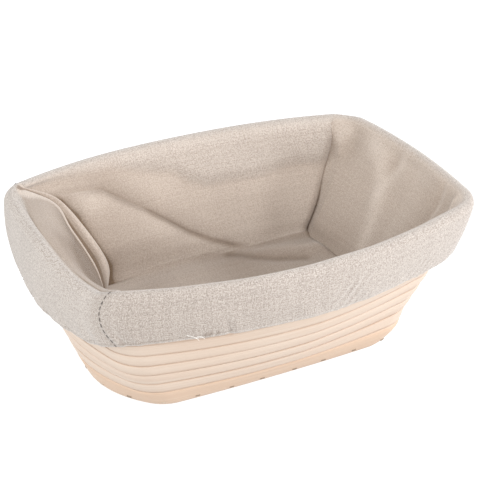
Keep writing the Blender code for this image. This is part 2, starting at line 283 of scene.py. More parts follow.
class Nodes:
    """Short ways to add and join shader nodes."""

    def __init__(self, name):
        self.material = bpy.data.materials.new(name)
        self.material.use_nodes = True
        self.tree = self.material.node_tree
        self.shader = self.tree.nodes["Principled BSDF"]

    def add(self, kind, inputs=None, **settings):
        made = self.tree.nodes.new(kind)
        for key, value in settings.items():
            setattr(made, key, value)
        for key, value in (inputs or {}).items():
            self.put(value, made.inputs[key])
        return made

    def put(self, value, socket):
        if isinstance(value, bpy.types.NodeSocket):
            self.tree.links.new(value, socket)
        elif socket.type == "RGBA":
            socket.default_value = (*value, 1.0)
        else:
            socket.default_value = value

    def math(self, operation, *values):
        made = self.add("ShaderNodeMath", operation=operation)
        for socket, value in zip(made.inputs, values):
            self.put(value, socket)
        return made.outputs[0]

    def times(self, first, second):
        return self.math("MULTIPLY", first, second)

    def plus(self, first, second):
        return self.math("ADD", first, second)

    def minus(self, first, second):
        return self.math("SUBTRACT", first, second)

    def blend(self, factor, first, second, mode="MIX"):
        made = self.add("ShaderNodeMix", data_type="RGBA", blend_type=mode, clamp_factor=True)
        self.put(factor, made.inputs[0])
        self.put(first, made.inputs[6])
        self.put(second, made.inputs[7])
        return made.outputs[2]

    def over(self, colour, mask, strength, other):
        """Another colour laid over one where a mask says, up to a strength."""
        return self.blend(self.times(mask, strength), colour, other)

    def tinted(self, colour, tint):
        return self.blend(1.0, colour, tint, "MULTIPLY")

    def span(self, value, low, high, to_low=0.0, to_high=1.0):
        made = self.add("ShaderNodeMapRange", interpolation_type="SMOOTHSTEP")
        for socket, number in zip(made.inputs, (value, low, high, to_low, to_high)):
            self.put(number, socket)
        return made.outputs[0]

    def noise(self, vector, scale, detail=2.0, roughness=0.5):
        made = self.add("ShaderNodeTexNoise", {"Vector": vector, "Scale": scale,
                                               "Detail": detail, "Roughness": roughness})
        return made.outputs["Fac"]

    def stretched(self, vector, scale):
        return self.add("ShaderNodeVectorMath", {0: vector, 1: scale}, operation="MULTIPLY").outputs[0]

    def streaks(self, vector, stretch, detail=2.0, roughness=0.5):
        """Noise with its own scale along each axis."""
        return self.noise(self.stretched(vector, stretch), 1.0, detail, roughness)

    def coordinates(self, map_name):
        return self.add("ShaderNodeUVMap", uv_map=map_name).outputs[0]

    def object_place(self):
        return self.add("ShaderNodeTexCoord").outputs["Object"]

    def parts(self, vector):
        made = self.add("ShaderNodeSeparateXYZ", {0: vector})
        return made.outputs[0], made.outputs[1]

    def bumps(self, height, distance, strength, normal=None):
        made = self.add("ShaderNodeBump", {"Height": height, "Distance": distance,
                                           "Strength": strength})
        if normal is not None:
            self.put(normal, made.inputs["Normal"])
        return made.outputs[0]

    def set(self, **values):
        for key, value in values.items():
            self.put(value, self.shader.inputs[key.replace("_", " ").title().replace("Ior", "IOR")])
        return self.material


def linen_material():
    """Undyed plain-weave linen: uneven threads, brown and white slubs, a soft fuzz, and painted light and
    shade from its inside map.
    """
    n = Nodes("linen_weave")
    lay = n.coordinates("cloth")
    inside, shade = n.parts(n.coordinates("inside"))
    shift = n.times(n.minus(n.noise(lay, 230.0, 1.0), 0.5), THREAD_WANDER)
    across, down = n.parts(lay)
    warp = n.math("DIVIDE", n.plus(across, shift), THREAD_WIDTH)
    weft = n.math("DIVIDE", n.minus(down, shift), THREAD_WIDTH)
    # Which of the two threads lies on top here
    over = n.times(n.plus(n.math("FLOOR", warp), n.math("FLOOR", weft)), math.pi)

    def thread_height(place, other, side):
        """A thread's round back, which goes over and under the other threads."""
        back = n.math("SINE", n.times(n.math("FRACT", place), math.pi))
        turn = n.math("SINE", n.plus(n.times(n.math("FRACT", other), math.pi), over))
        return n.times(back, n.plus(n.times(turn, side), 0.5))

    def thread_tone(place, stretch):
        own = n.add("ShaderNodeTexWhiteNoise", {"W": n.math("FLOOR", place)}, noise_dimensions="1D")
        return n.plus(n.times(own.outputs["Value"], 0.10), n.streaks(lay, stretch, 3.0, 0.65))

    warp_height = thread_height(warp, weft, 0.5)
    weft_height = thread_height(weft, warp, -0.5)
    height = n.math("MAXIMUM", warp_height, weft_height)
    tone = n.add("ShaderNodeMix", {0: n.math("GREATER_THAN", warp_height, weft_height),
                                   2: thread_tone(weft, (600.0, 1550.0, 1.0)),
                                   3: thread_tone(warp, (1550.0, 600.0, 1.0))}).outputs[0]
    speckle = n.noise(lay, 1700.0, 2.0, 0.7)
    tone = n.span(n.plus(n.times(tone, 0.55), n.times(speckle, 0.45)), 0.37, 0.66)
    # The pocket's cloth is more even than the cuff's
    contrast = n.span(inside, 0.0, 1.0, 1.0, 0.55)
    tone = n.plus(n.times(n.minus(tone, 0.5), contrast), 0.5)
    colour = n.blend(tone, LINEN_DARK, LINEN_LIGHT)
    # Flecks: brown bark, reddish and pale slubs
    flecks = (((1400.0, 780.0, 1.0), 0.67, 0.74, 0.60, (0.15, 0.10, 0.075)),
              ((760.0, 1250.0, 1.0), 0.68, 0.75, 0.50, (0.25, 0.145, 0.11)),
              ((1200.0, 1200.0, 1.0), 0.68, 0.74, 0.42, (0.66, 0.63, 0.59)))
    for stretch, low, high, strength, fleck_colour in flecks:
        fleck = n.times(n.span(n.streaks(lay, stretch), low, high), contrast)
        colour = n.over(colour, fleck, strength, fleck_colour)
    # Broad patches, the dark between threads, and the pocket's warmer tint, which is painted light
    # standing in for the warm light bounced inside it
    patch = n.span(n.noise(n.object_place(), 38.0, 3.0), 0.3, 0.75)
    colour = n.over(colour, patch, 0.10, (0.30, 0.25, 0.21))
    gap = n.minus(1.0, n.span(height, 0.05, 0.5))
    colour = n.over(colour, gap, 0.28, (0.19, 0.15, 0.115))
    colour = n.blend(inside, n.tinted(colour, CUFF_TINT), n.tinted(colour, POCKET_TINT))
    # Painted shade makes creases darker and browner, painted highlights make crests paler
    colour = n.over(colour, shade, -1.0, n.tinted(colour, PAINTED_HIGHLIGHT_TINT))
    colour = n.blend(shade, colour, n.tinted(colour, PAINTED_SHADE_TINT))
    weave = n.bumps(height, 0.00018, 0.7)
    fuzz = n.bumps(n.noise(n.object_place(), 2600.0, 3.0, 0.7), 0.00015, 0.35, weave)
    return n.set(base_color=colour, roughness=n.span(speckle, 0.2, 0.8, 0.98, 0.88), normal=fuzz,
                 sheen_weight=0.3, sheen_roughness=0.45, specular_ior_level=0.2)


def cane_material():
    """Pale rattan strip: long fine fibres, faint pores and browner edges, which also carry painted shade.
    """
    n = Nodes("rattan_strip")
    lay = n.coordinates("grain")
    edge, _ = n.parts(n.coordinates("edge"))
    fibre = n.streaks(lay, (14.0, 1500.0, 1.0), 4.0, 0.6)
    broad = n.streaks(lay, (9.0, 210.0, 1.0))
    patch = n.noise(n.object_place(), 26.0, 2.0)
    colour = n.blend(n.span(fibre, 0.3, 0.7), (0.481, 0.376, 0.303), (0.526, 0.435, 0.361))
    colour = n.over(colour, n.span(broad, 0.35, 0.75), 0.4, (0.552, 0.47, 0.395))
    colour = n.over(colour, n.span(patch, 0.4, 0.7), 0.3, (0.499, 0.387, 0.307))
    streak = n.span(n.streaks(lay, (22.0, 2600.0, 1.0)), 0.66, 0.74)
    colour = n.over(colour, streak, 0.2, (0.362, 0.246, 0.172))
    uneven = n.span(n.streaks(lay, (16.0, 40.0, 1.0)), 0.3, 0.7, 0.25, 1.0)
    # Browner edges: partly the cane's own, partly painted shade in the grooves and on each strip's lower
    # part, which faces down
    colour = n.over(colour, n.times(edge, uneven), 0.62, (0.395, 0.246, 0.158))
    # The lowest, widest strip is a browner one
    up = n.add("ShaderNodeSeparateXYZ", {0: n.object_place()}).outputs[2]
    browner = n.span(up, BASE_COURSE_HEIGHT - 0.0003, BASE_COURSE_HEIGHT + 0.0003, 1.0, 0.0)
    colour = n.blend(browner, colour, n.tinted(colour, (0.985, 0.90, 0.82)))
    relief = n.bumps(fibre, 0.00025, 0.35)
    return n.set(base_color=colour, roughness=n.span(fibre, 0.2, 0.8, 0.62, 0.48), normal=relief,
                 specular_ior_level=0.35)


def plywood_material():
    """Birch-faced board: straight grain along it with a few darker lines."""
    n = Nodes("birch_board")
    place = n.object_place()
    grain = n.streaks(place, (9.0, 240.0, 60.0), 4.0, 0.6)
    line = n.streaks(place, (5.0, 420.0, 60.0))
    colour = n.blend(n.span(grain, 0.3, 0.7), (0.70, 0.50, 0.33), (0.85, 0.68, 0.50))
    colour = n.over(colour, n.span(line, 0.6, 0.72), 0.5, (0.50, 0.32, 0.19))
    return n.set(base_color=colour, roughness=0.62, normal=n.bumps(grain, 0.0002, 0.4),
                 specular_ior_level=0.3)


def nail_material(name, grain, dark, light, metallic, roughness):
    """A nail's head: dull browned steel, or wood filler over one driven under the surface."""
    n = Nodes(name)
    tone = n.noise(n.object_place(), grain, 3.0)
    return n.set(base_color=n.blend(tone, dark, light), metallic=metallic,
                 roughness=n.span(tone, 0.3, 0.7, *roughness), normal=n.bumps(tone, 0.0001, 0.3))


def thread_material(name, dark, light):
    """Twisted sewing thread."""
    n = Nodes(name)
    twist = n.streaks(n.object_place(), (TWIST_GRAIN, TWIST_GRAIN, TWIST_GRAIN))
    colour = n.blend(n.span(twist, 0.3, 0.7), dark, light)
    return n.set(base_color=colour, roughness=0.85, normal=n.bumps(twist, 0.0001, 0.4),
                 sheen_weight=0.3)


def elastic_material():
    """Braided elastic, ribbed along its length."""
    n = Nodes("braided_elastic")
    _, down = n.parts(n.coordinates("cloth"))
    rib = n.math("SINE", n.times(down, math.tau / ELASTIC_RIB))
    rib = n.plus(n.times(rib, 0.5), 0.5)
    colour = n.blend(rib, (0.62, 0.60, 0.56), (0.84, 0.82, 0.78))
    return n.set(base_color=colour, roughness=0.8, normal=n.bumps(rib, 0.0002, 0.5), sheen_weight=0.3)


# ---------------------------------------------------------------- cane wall

COURSE_STATIONS = 480
STRIP_GAP = 0.00007
STRIP_CROWN = 0.00065
STRIP_WANDER = 0.00016
JOINT_WANDER = 0.00022
SUNK_NAILS = ("13", "15")
# The rim strip's rounded upper edge: share of its height, and inset
RIM_EDGE = ((0.80, 0.0004), (0.90, 0.0011), (0.97, 0.0021), (1.0, 0.0030))


def loop_noise(ring, seed, waves=7):
    """Soft seeded noise once round the ring, which joins up with itself."""
    rng = np.random.default_rng(seed)
    total = np.zeros_like(ring)
    for wave in range(1, waves + 1):
        size = rng.normal() / wave ** 0.7
        total += size * np.sin(ring * math.tau / FULL_RING * wave + rng.uniform(0.0, math.tau))
    return total / 1.6


def closed_up(points):
    """A grid of points with its first row and column repeated at its end."""
    points = np.concatenate((points, points[:1]), 0)
    return np.concatenate((points, points[:, :1]), 1)


def course_boundaries(ring):
    """Heights of the joints between courses round the wall: they wander a little."""
    pitch = (WALL_HEIGHT - BASE_COURSE_HEIGHT) / UPPER_COURSE_COUNT
    joints = [np.zeros_like(ring)]
    for number in range(1, UPPER_COURSE_COUNT + 1):
        height = BASE_COURSE_HEIGHT + (number - 1) * pitch
        joints.append(height + JOINT_WANDER * loop_noise(ring, 40 + number))
    joints.append(np.full_like(ring, WALL_HEIGHT))
    return [height - rim_sag(ring) * smooth((height - CANE_SAG_START) / CANE_SAG_REACH)
            for height in joints]


def strip_section(is_base, is_rim):
    """A strip's section, as (share of its height, inset) up its outside and down its inside."""
    sharpness = 6 if is_base else 2.6
    outer = [(share, STRIP_CROWN * abs(2.0 * share - 1.0) ** sharpness)
             for share in np.linspace(0.0, 1.0, 11)]
    if is_rim:
        outer = outer[:7] + list(RIM_EDGE)
    inner = [(share, CANE_THICKNESS - inset) for share, inset in outer[::-1]]
    return np.array(outer + inner)


def edge_shade(share, is_base, is_rim):
    """Browner towards the strip's edges, most of all above its lower one: partly the cane's own browner
    edges, partly painted shade in the grooves and on the downward-facing lower part.
    """
    low = np.zeros_like(share) if is_base else np.clip(1.0 - share / 0.42, 0.0, 1.0) ** 2.2
    high = np.zeros_like(share) if is_rim else np.clip((share - 0.88) / 0.12, 0.0, 1.0) ** 2
    return low + high


def make_cane_wall(material):
    """Ten glued courses of bent strip, each a little uneven along its length."""
    ring = np.linspace(0.0, FULL_RING, COURSE_STATIONS, endpoint=False)
    joints = course_boundaries(ring)
    for number in range(1, UPPER_COURSE_COUNT + 2):
        is_base = number == 1
        is_rim = number == UPPER_COURSE_COUNT + 1
        section = strip_section(is_base, is_rim)
        low = joints[number - 1] + (0.0 if is_base else STRIP_GAP)
        high = joints[number] - (0.0 if is_rim else STRIP_GAP)
        height = low + (high - low) * section[:, :1]
        inset = section[:, 1:] + STRIP_WANDER * loop_noise(ring, 80 + number)
        place, _ = on_outline(wall_outline(height, ring), -inset, ring)
        points = in_space(place, height)
        closed = closed_up(points)
        along = lengths_along(closed, 1).mean(axis=0)
        across = lengths_along(closed, 0).mean(axis=1)
        # Each strip is cut from another place in the cane
        grain = np.stack(np.meshgrid(along + 0.37 * number, across + 0.05 * number), -1)
        shade = edge_shade(section[:, 0], is_base, is_rim)
        shade = np.concatenate((shade, shade[:1]))
        edge = np.stack(np.broadcast_arrays(shade[:, None], np.zeros(len(along))), -1)
        name = f"cane_strip_{number:02d}"
        mesh = grid_mesh(name, points, {"grain": grain, "edge": edge}, True, True)
        strip = add_object(name, mesh, material, "basket")
        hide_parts(f"cane_course_{number:02d}")


# ---------------------------------------------------------------- liner

# Round the ring (0 to 12): how far the hem stands off the wall and how high it hangs,
# and how far the cuff stands off just below the rim and how high the rim's roll is (mm)
HEM_RINGS = (0.0, 1.5, 3.0, 4.2, 4.8, 5.2, 5.6, 6.0, 6.5, 6.8, 7.1, 7.45, 8.1, 9.0, 9.6, 9.9,
             10.3, 10.8, 11.4, 12.0)
HEM_OFFSETS = (2.5, 2.5, 4.0, 4.6, 4.8, 5.5, 7.0, 8.3, 7.8, 6.8, 5.8, 5.0, 5.0, 5.0, 4.6, 4.2,
               3.9, 4.0, 3.5, 2.5)
HEM_HEIGHTS = (53.0, 53.0, 52.5, 51.0, 49.0, 47.5, 46.5, 46.5, 47.0, 47.5, 50.0, 52.8, 54.8,
               54.2, 53.4, 52.6, 53.0, 53.0, 53.0, 53.0)
RIM_RINGS = (0.0, 0.8, 1.5, 2.2, 3.0, 3.6, 4.2, 4.6, 5.1, 5.6, 6.0, 6.6, 7.0, 7.35, 8.0, 9.0, 9.8,
             10.3, 11.0, 12.0)
RIM_OFFSETS = (1.0, 0.9, 0.9, 1.5, 1.8, 1.9, 1.9, 2.0, 2.2, 3.5, 4.8, 5.0, 3.8, 2.5, 1.9, 1.9, 1.4,
               1.3, 1.2, 1.0)
RIM_HEIGHTS = (82.2, 82.0, 80.8, 81.2, 81.0, 82.0, 82.2, 81.6, 81.0, 80.6, 80.5, 80.5, 80.5, 80.4,
               80.4, 80.4, 80.4, 80.3, 81.2, 82.2)

# The turned hem from its end inside to just above its fold, from the hem's edge (mm)
HEM_TURN = ((-2.2, 6.0), (-2.0, 3.6), (-1.6, 1.6), (-0.9, 0.3), (0.0, 0.0), (0.5, 1.0), (0.5, 2.8))
# Short puckers of the front hem, shown only as painted shade, as places round the ring
HEM_PUCKERS = (8.315, 8.34, 8.38)
FRONT_CREASE_RING = 8.46
# Shares of the way up the cuff's outside, and the roll over the rim (mm)
CUFF_SHARES = (0.2, 0.45, 0.72, 1.0)
CUFF_TOP = 75.0
CUFF_BULGE = 0.5
RIM_ROLL = ((-0.9, -2.6), (-2.4, -0.7), (-4.4, 0.0), (-6.5, -0.8))
CUFF_LEVELS = len(HEM_TURN) + len(CUFF_SHARES) + len(RIM_ROLL)
HEM_WANDER = 0.0003
# How the front left seam wanders along the ring, from the hem's end to the rim's inside
SEAM_BEND = (0.12, 0.12, 0.12, 0.12, 0.12, 0.11, 0.08, -0.01, -0.09, -0.13, -0.09, -0.04, 0.01,
             0.06, 0.10)
# Levels down the pocket's wall, as shares of its depth
WALL_LEVELS = (0.0, 0.10, 0.28, 0.50, 0.68, 0.84, 1.0)
# The floor between its front and back edges: share of the way, and sag (mm)
FLOOR_LEVELS = ((0.12, 1.2), (0.5, 2.0), (0.88, 1.2))
FLARE = 0.009
# Heights above the hem's edge: its turned cord, its stitches, the dip over them and the top
# of its puckers
HEM_CORD_HEIGHT = 0.0012
HEM_STITCH_HEIGHT = 0.0019
HEM_DIP_HEIGHT = 0.0023
PUCKER_HEIGHT = 0.0048
HEM_LINE_WIDTH = 0.0006
# Slanting gathers of the front hem: their first and last ring positions, height, lean and
# how closely they follow each other
GATHER_START = 8.95
GATHER_END = 10.0
GATHER_HEIGHT = 0.019
GATHER_LEAN = 8.0
GATHER_PACE = 96.0
# How deep the hem's soft folds, its one upright crease and its slanting gathers are
FOLD_DEPTH = 0.0004
CREASE_DEPTH = 0.0009
GATHER_DEPTH = 0.00055

PROFILE_ROWS = 160
FLOOR_ROWS = 90
SIDE_COLUMNS = 300
END_COLUMNS = 230

# The left end's folds at each level of the wall (mm). Along each level, from the back
# corner's seam: seam, second ridge, strip, undercut, first ridge, its brow, two places
# along the end, and the front corner's seam.
LEFT_FOLDS = np.array((
    ((-89.6, 58.0, 81.2), (-88.9, 56.6, 81.6), (-89.6, 55.6, 81.3), (-90.2, 54.6, 81.3),
     (-90.6, 53.8, 81.6), (-94.5, 43, 81.6), (-102, 10.5, 81.2), (-101, -26.5, 77.1),
     (-98.2, -44.5, 77), (-94.4, -52, 79.2)),
    ((-85.3, 56.2, 77.2), (-83.5, 54.9, 79.3), (-85, 52.8, 78.2), (-86.7, 51.6, 77.8),
     (-85, 49.2, 79.9), (-88, 42.2, 80.3), (-96.2, 10, 80.0), (-98.4, -26, 76),
     (-95.5, -42, 75.9), (-91.8, -49.2, 77.3)),
    ((-76.5, 55.5, 68.6), (-73.5, 54.5, 73), (-78, 50, 71), (-81, 46, 69.5), (-79.3, 42, 76),
     (-82, 37, 77), (-89, 8, 74), (-93, -22.5, 69.5), (-90.5, -36.5, 67.5),
     (-86, -48, 65)),
    ((-66, 52, 56), (-64.5, 48, 61), (-70, 41, 58), (-79, 33, 58), (-79.5, 27, 70.5),
     (-82, 22, 72), (-84.5, 4, 68), (-86, -24, 62), (-83.5, -35.5, 58),
     (-79, -45, 53)),
    ((-59, 47, 43), (-56.5, 41.5, 46), (-62, 34.5, 45), (-75, 26, 49), (-77.3, 14, 63),
     (-80, 9, 65), (-81, -5, 60), (-80, -26, 51), (-77.5, -35.5, 47.5),
     (-73, -43, 43)),
    ((-56, 43, 33), (-54, 38.5, 37), (-60, 29, 36), (-72, 17, 41), (-75.5, 5, 55),
     (-78, 0, 56.5), (-78, -12, 48), (-74, -28, 39), (-72.2, -35.5, 37),
     (-69, -41.5, 34.5)),
    ((-56, 38, 27.5), (-57, 34, 28), (-60, 26, 27.5), (-65, 15, 27), (-67, 8, 27),
     (-67, 2, 26.5), (-66.5, -12, 26), (-66, -27, 26), (-65, -34, 26),
     (-63.5, -40, 26)),
)) * MM
LEFT_PLACES = np.array((0.0, 0.06, 0.16, 0.26, 0.34, 0.44, 0.60, 0.80, 0.90, 1.0))
LEFT_RINGS = np.array((BACK_LEFT, 4.16, 4.24, 4.34, 4.45, 4.80, 5.70, 6.55, 7.00,
                       FRONT_LEFT))
# How far along the back wall the left end's second ridge stands before it, by height
RIDGE_HEIGHTS = np.array((30, 36, 42, 50, 60, 70)) * MM
RIDGE_REACH = np.array((6, 9, 9, 8, 7, 11)) * MM
# Where the left end's paler border ends, past the rim's crest (mm): the border is painted light on the
# rim's roll
LEFT_BORDER = np.array((0.0, 0.0, 0.0, 0.5, 1.5, 4.5, 2.5, 1.5, 2.0, 1.5))
# The back right corner's seam down the pocket (mm)
BACK_RIGHT_SEAM = np.array((
    (87.0, 55.6, 79.4), (86.2, 54.0, 72.6), (83.0, 52.4, 62.9), (78.3, 49.7, 51.0),
    (74.0, 46.7, 41.6), (69.0, 44.2, 33.3), (65.0, 42.0, 27.0),
)) * MM
# The front right corner's seam down the pocket (mm)
FRONT_RIGHT_SEAM = np.array((
    (94.6, -46.6, 79.4), (91.8, -45.8, 72.0), (86.0, -43.8, 62.4), (79.0, -41.3, 51.0),
    (73.3, -39.0, 41.6), (67.8, -37.0, 33.3), (62.5, -35.0, 26.0),
)) * MM
# Lower edge of the band under the back rim that carries painted light, as (x, z)
BACK_BAND = np.array((
    (-100, 82), (-37, 76), (-18, 70), (-3, 66.5), (5.5, 60.8), (14, 57.5), (26, 57.6), (42, 57),
    (66, 60), (100, 58),
)) * MM
# Valley across the back wall, from the high left to the floor, as (x, z)
BACK_CREASE = np.array((
    (-66, 72), (-45, 68.5), (-33, 60.5), (-24, 55), (-15, 49), (-1, 39), (12, 32.5), (23, 28),
    (40, 24),
)) * MM
# The cloth's step down into that valley, the valley itself, the rise of the band under the
# rim, and the soft ripples of the pocket's cloth and of its front wall
VALLEY_STEP = 0.0062
VALLEY_EASE = 0.007
VALLEY_DEPTH = 0.0010
VALLEY_WIDTH = 0.0022
BAND_RISE = 0.0020
RIPPLE_DEPTH = 0.0006
FRONT_RIPPLE_DEPTH = 0.0008
# Ridges down the right end, one upright and one slanting into it, and the tuck beside its
# back seam, as (y, z)
RIGHT_RIDGES = (np.array(((30, 82), (21, 76), (17, 73), (10.5, 65), (5.5, 58), (3, 51),
                          (1, 44), (0, 36))) * MM,
                np.array(((2.5, 82), (3, 74), (4, 70), (6, 62), (6.5, 59))) * MM)
RIGHT_TUCK = np.array(((54, 80), (50.5, 73), (47, 66))) * MM
# A fold in the floor's back right quarter and the ridge behind it, then the painted shade of the fold and
# the painted highlight on the ridge, as (x, y)
FLOOR_FOLD = np.array(((18, 48), (27, 36), (39, 26), (52, 22))) * MM
FLOOR_RIDGE = np.array(((20, 50), (31, 42), (44.6, 34.5), (57, 29), (68, 26))) * MM
FLOOR_SHADE_LINE = np.array(((18, 42), (23, 39), (28, 34), (38, 27.5), (52, 21.5))) * MM
FLOOR_HIGHLIGHT_LINE = np.array(((24, 43), (30.7, 41), (42, 35.7), (56, 30), (66, 27))) * MM


def round_ring(values, rings, ring):
    """Values given in millimetres at ring positions, smoothly round the ring."""
    return spline(values, rings, np.mod(ring, FULL_RING)) * MM


def cuff_controls(ring):
    """Control rows of the cuff: the turned hem, up the outside and over the rim."""
    hem_offset = round_ring(HEM_OFFSETS, HEM_RINGS, ring)
    hem_height = round_ring(HEM_HEIGHTS, HEM_RINGS, ring)
    rim_offset = round_ring(RIM_OFFSETS, RIM_RINGS, ring)
    sag = rim_sag(ring)
    rim_height = round_ring(RIM_HEIGHTS, RIM_RINGS, ring) - sag
    rows = [(hem_offset + out * MM, hem_height + up * MM) for out, up in HEM_TURN]
    start_offset, start_height = rows[-1]
    for share in CUFF_SHARES:
        bulge = CUFF_BULGE * MM * math.sin(math.pi * share)
        rows.append((start_offset + (rim_offset - start_offset) * share + bulge,
                     start_height + (CUFF_TOP * MM - sag - start_height) * share))
    rows += [(rim_offset + out * MM, rim_height + up * MM) for out, up in RIM_ROLL]
    offset = np.array([row[0] for row in rows]) + HEM_WANDER * loop_noise(ring, 5)
    height = np.array([row[1] for row in rows])
    ring = ring + np.array(SEAM_BEND)[:, None] * bump(ring - FRONT_LEFT, 0.4)
    place, _ = on_outline(wall_outline(height, ring), offset, ring)
    return in_space(place, height)


def wall_controls(ring):
    """Control rows of the pocket's wall, in straight lines from the rim to the floor."""
    share = np.broadcast_to(np.array(WALL_LEVELS)[:, None], (len(WALL_LEVELS), len(ring)))
    height = POCKET_TOP + (POCKET_FLOOR - POCKET_TOP) * share
    place, _ = on_outline(pocket_outline(share), 0.0, np.broadcast_to(ring, share.shape))
    return in_space(place, height)


def pulled_to(rows, first=None, last=None, reach=0.35):
    """Moves the ends of rows onto given points and eases the rest after them."""
    share = np.linspace(0.0, 1.0, rows.shape[1])
    for target, place, away in ((first, 0, share), (last, -1, 1.0 - share)):
        if target is not None:
            ease = smooth(1.0 - away / reach)[None, :, None]
            rows = rows + (target - rows[:, place])[:, None] * ease
    return rows


def floor_controls(front_edge, back_edge):
    """Control rows of the floor, sagging a little between its front and back edges."""
    rows = []
    for share, sag in FLOOR_LEVELS:
        row = front_edge + (back_edge - front_edge) * share
        row[:, 2] -= sag * MM
        rows.append(row)
    return np.array(rows)


def profile_knots():
    """Lengths down the profile to each control row, the same for every cloth."""
    ring = np.array((9.0,))
    controls = np.concatenate((cuff_controls(ring), wall_controls(ring)), 0)
    return lengths_along(controls, 0)[:, 0]


def slanting_gathers(ring, above):
    """Slanting gathers over the right half of the front hem, 1 along their crests."""
    across = ring - above * GATHER_LEAN
    reach = smooth((ring - GATHER_START) / 0.25) * smooth((GATHER_END - ring) / 0.35)
    reach = reach * smooth((GATHER_HEIGHT - above + 0.003 * loop_noise(across * 4.0, 63)) / 0.010)
    crests = smooth(np.sin(across * GATHER_PACE + 2.2 * loop_noise(across * 3.0, 62)) / 0.9)
    return reach * crests * np.clip(0.55 + 0.8 * loop_noise(across * 5.0, 64), 0.1, 1.0)


def gathered(rows, ring):
    """Puckers of the elastic hem: small upright folds that die out up the cuff."""
    _, outward = on_outline(wall_outline(rows[..., 2], ring), 0.0, ring)
    above = rows[..., 2] - round_ring(HEM_HEIGHTS, HEM_RINGS, ring)
    on_cuff = np.arange(len(rows))[:, None] < len(rows) * 0.5
    near_hem = smooth((0.016 - above) / 0.013) * on_cuff
    lean = ring + above * 9.0
    strength = 0.55 + 0.45 * loop_noise(ring, 11)
    folds = np.sin(lean * 15.0 + 3.0 * loop_noise(ring, 12)) + 0.6 * np.sin(lean * 31.0 + 1.0)
    depth = FOLD_DEPTH * near_hem * np.clip(strength, 0.2, 1.0) * folds
    # One short upright crease over the front
    crease = bump(ring - FRONT_CREASE_RING + above * 1.5, 0.018) * smooth((0.014 - above) / 0.008)
    depth -= CREASE_DEPTH * crease * on_cuff
    depth += GATHER_DEPTH * slanting_gathers(ring, above) * on_cuff
    moved = rows.copy()
    moved[..., :2] += outward * depth[..., None]
    return moved


def crease_distance(a, b, line):
    """Signed distance to a polyline in a plane, negative on its right-hand side."""
    best = np.full(a.shape, 1e9)
    signed = np.zeros(a.shape)
    for (a0, b0), (a1, b1) in zip(line[:-1], line[1:]):
        da, db = a1 - a0, b1 - b0
        t = np.clip(((a - a0) * da + (b - b0) * db) / (da * da + db * db), 0.0, 1.0)
        distance = np.hypot(a - a0 - t * da, b - b0 - t * db)
        side = np.sign(da * (b - b0) - db * (a - a0))
        nearer = distance < best
        best = np.where(nearer, distance, best)
        signed = np.where(nearer, side * distance, signed)
    return signed


def back_wall_relief(x, z):
    """How far the back wall stands in from its straight line, over (x, z)."""
    distance = crease_distance(x, z, BACK_CREASE)
    below = np.clip(-distance, 0.0, None)
    reach = smooth((x + 0.074) / 0.02) * smooth((0.040 - x) / 0.03)
    relief = VALLEY_STEP * (1.0 - np.exp(-below / VALLEY_EASE)) * reach
    relief -= VALLEY_DEPTH * bump(distance, VALLEY_WIDTH) * reach
    relief *= 0.25 + 0.75 * smooth((z - POCKET_FLOOR - 0.002) / 0.016)
    band = crease_distance(x, z, BACK_BAND)
    relief += BAND_RISE * smooth((band + 0.002) / 0.008)
    relief += RIPPLE_DEPTH * ripples(x, z, 0.035, 21)
    return relief


def along_line(line, count):
    """Evenly spaced points along a line of points."""
    lengths = lengths_along(line, 0)
    places = np.linspace(0.0, lengths[-1], count)
    return along_path(line, lengths, places)


def across_cloth(columns):
    """Places across a cloth, from 0 at its first column to 1 at its last."""
    return np.linspace(0.0, 1.0, columns)


def past_rim():
    """Lengths down the profile from the inside of the rim, for its rows."""
    knots = profile_knots()
    return np.linspace(0.0, knots[-1], PROFILE_ROWS) - knots[CUFF_LEVELS - 2]


def in_pocket():
    """0 on the cuff, rising to 1 a little way down the pocket, for the rows of a profile."""
    return smooth(past_rim() / 0.007)[:, None]


def inside_map(row_count):
    """0 on the cuff and 1 in the pocket, for the rows of a cloth from its hem."""
    inside = np.ones(row_count)
    inside[:PROFILE_ROWS] = smooth((past_rim() + 0.001) / 0.005)
    if row_count > PROFILE_ROWS:
        inside[-PROFILE_ROWS:] = inside[PROFILE_ROWS - 1::-1]
    return inside[:, None]


def left_tone():
    """The pocket's tone on the left end: it starts lower at the back than at the front, leaving a paler
    border of painted light on the rim's roll.
    """
    places = across_cloth(END_COLUMNS)
    border = spline(LEFT_BORDER, LEFT_PLACES, places) * MM
    return smooth((past_rim()[:, None] - border[None, :] + 0.001) / 0.002)


def add_cloth(name, points, tone, shade, material, node_name):
    """A cloth over a grid of points, with its tone and shade painted on it."""
    inside = np.zeros(points.shape[:2] + (2,))
    inside[..., 0] = tone
    inside[..., 1] = shade
    mesh = grid_mesh(name, points, {"cloth": cloth_lay(points), "inside": inside})
    cloth = add_object(name, mesh, material, "liner")
    thicken(cloth)
    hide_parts(node_name)
    return cloth


def end_controls(ring, wall, floor_first, floor_last, inward):
    """Control rows of an end cloth, with one more below to lead it onto the floor."""
    below = wall[-1:] + np.array((inward * FLARE, 0.0, -0.0010))
    below = pulled_to(below, floor_first[None], floor_last[None], 0.15)
    return np.concatenate((cuff_controls(ring), wall, below), 0)


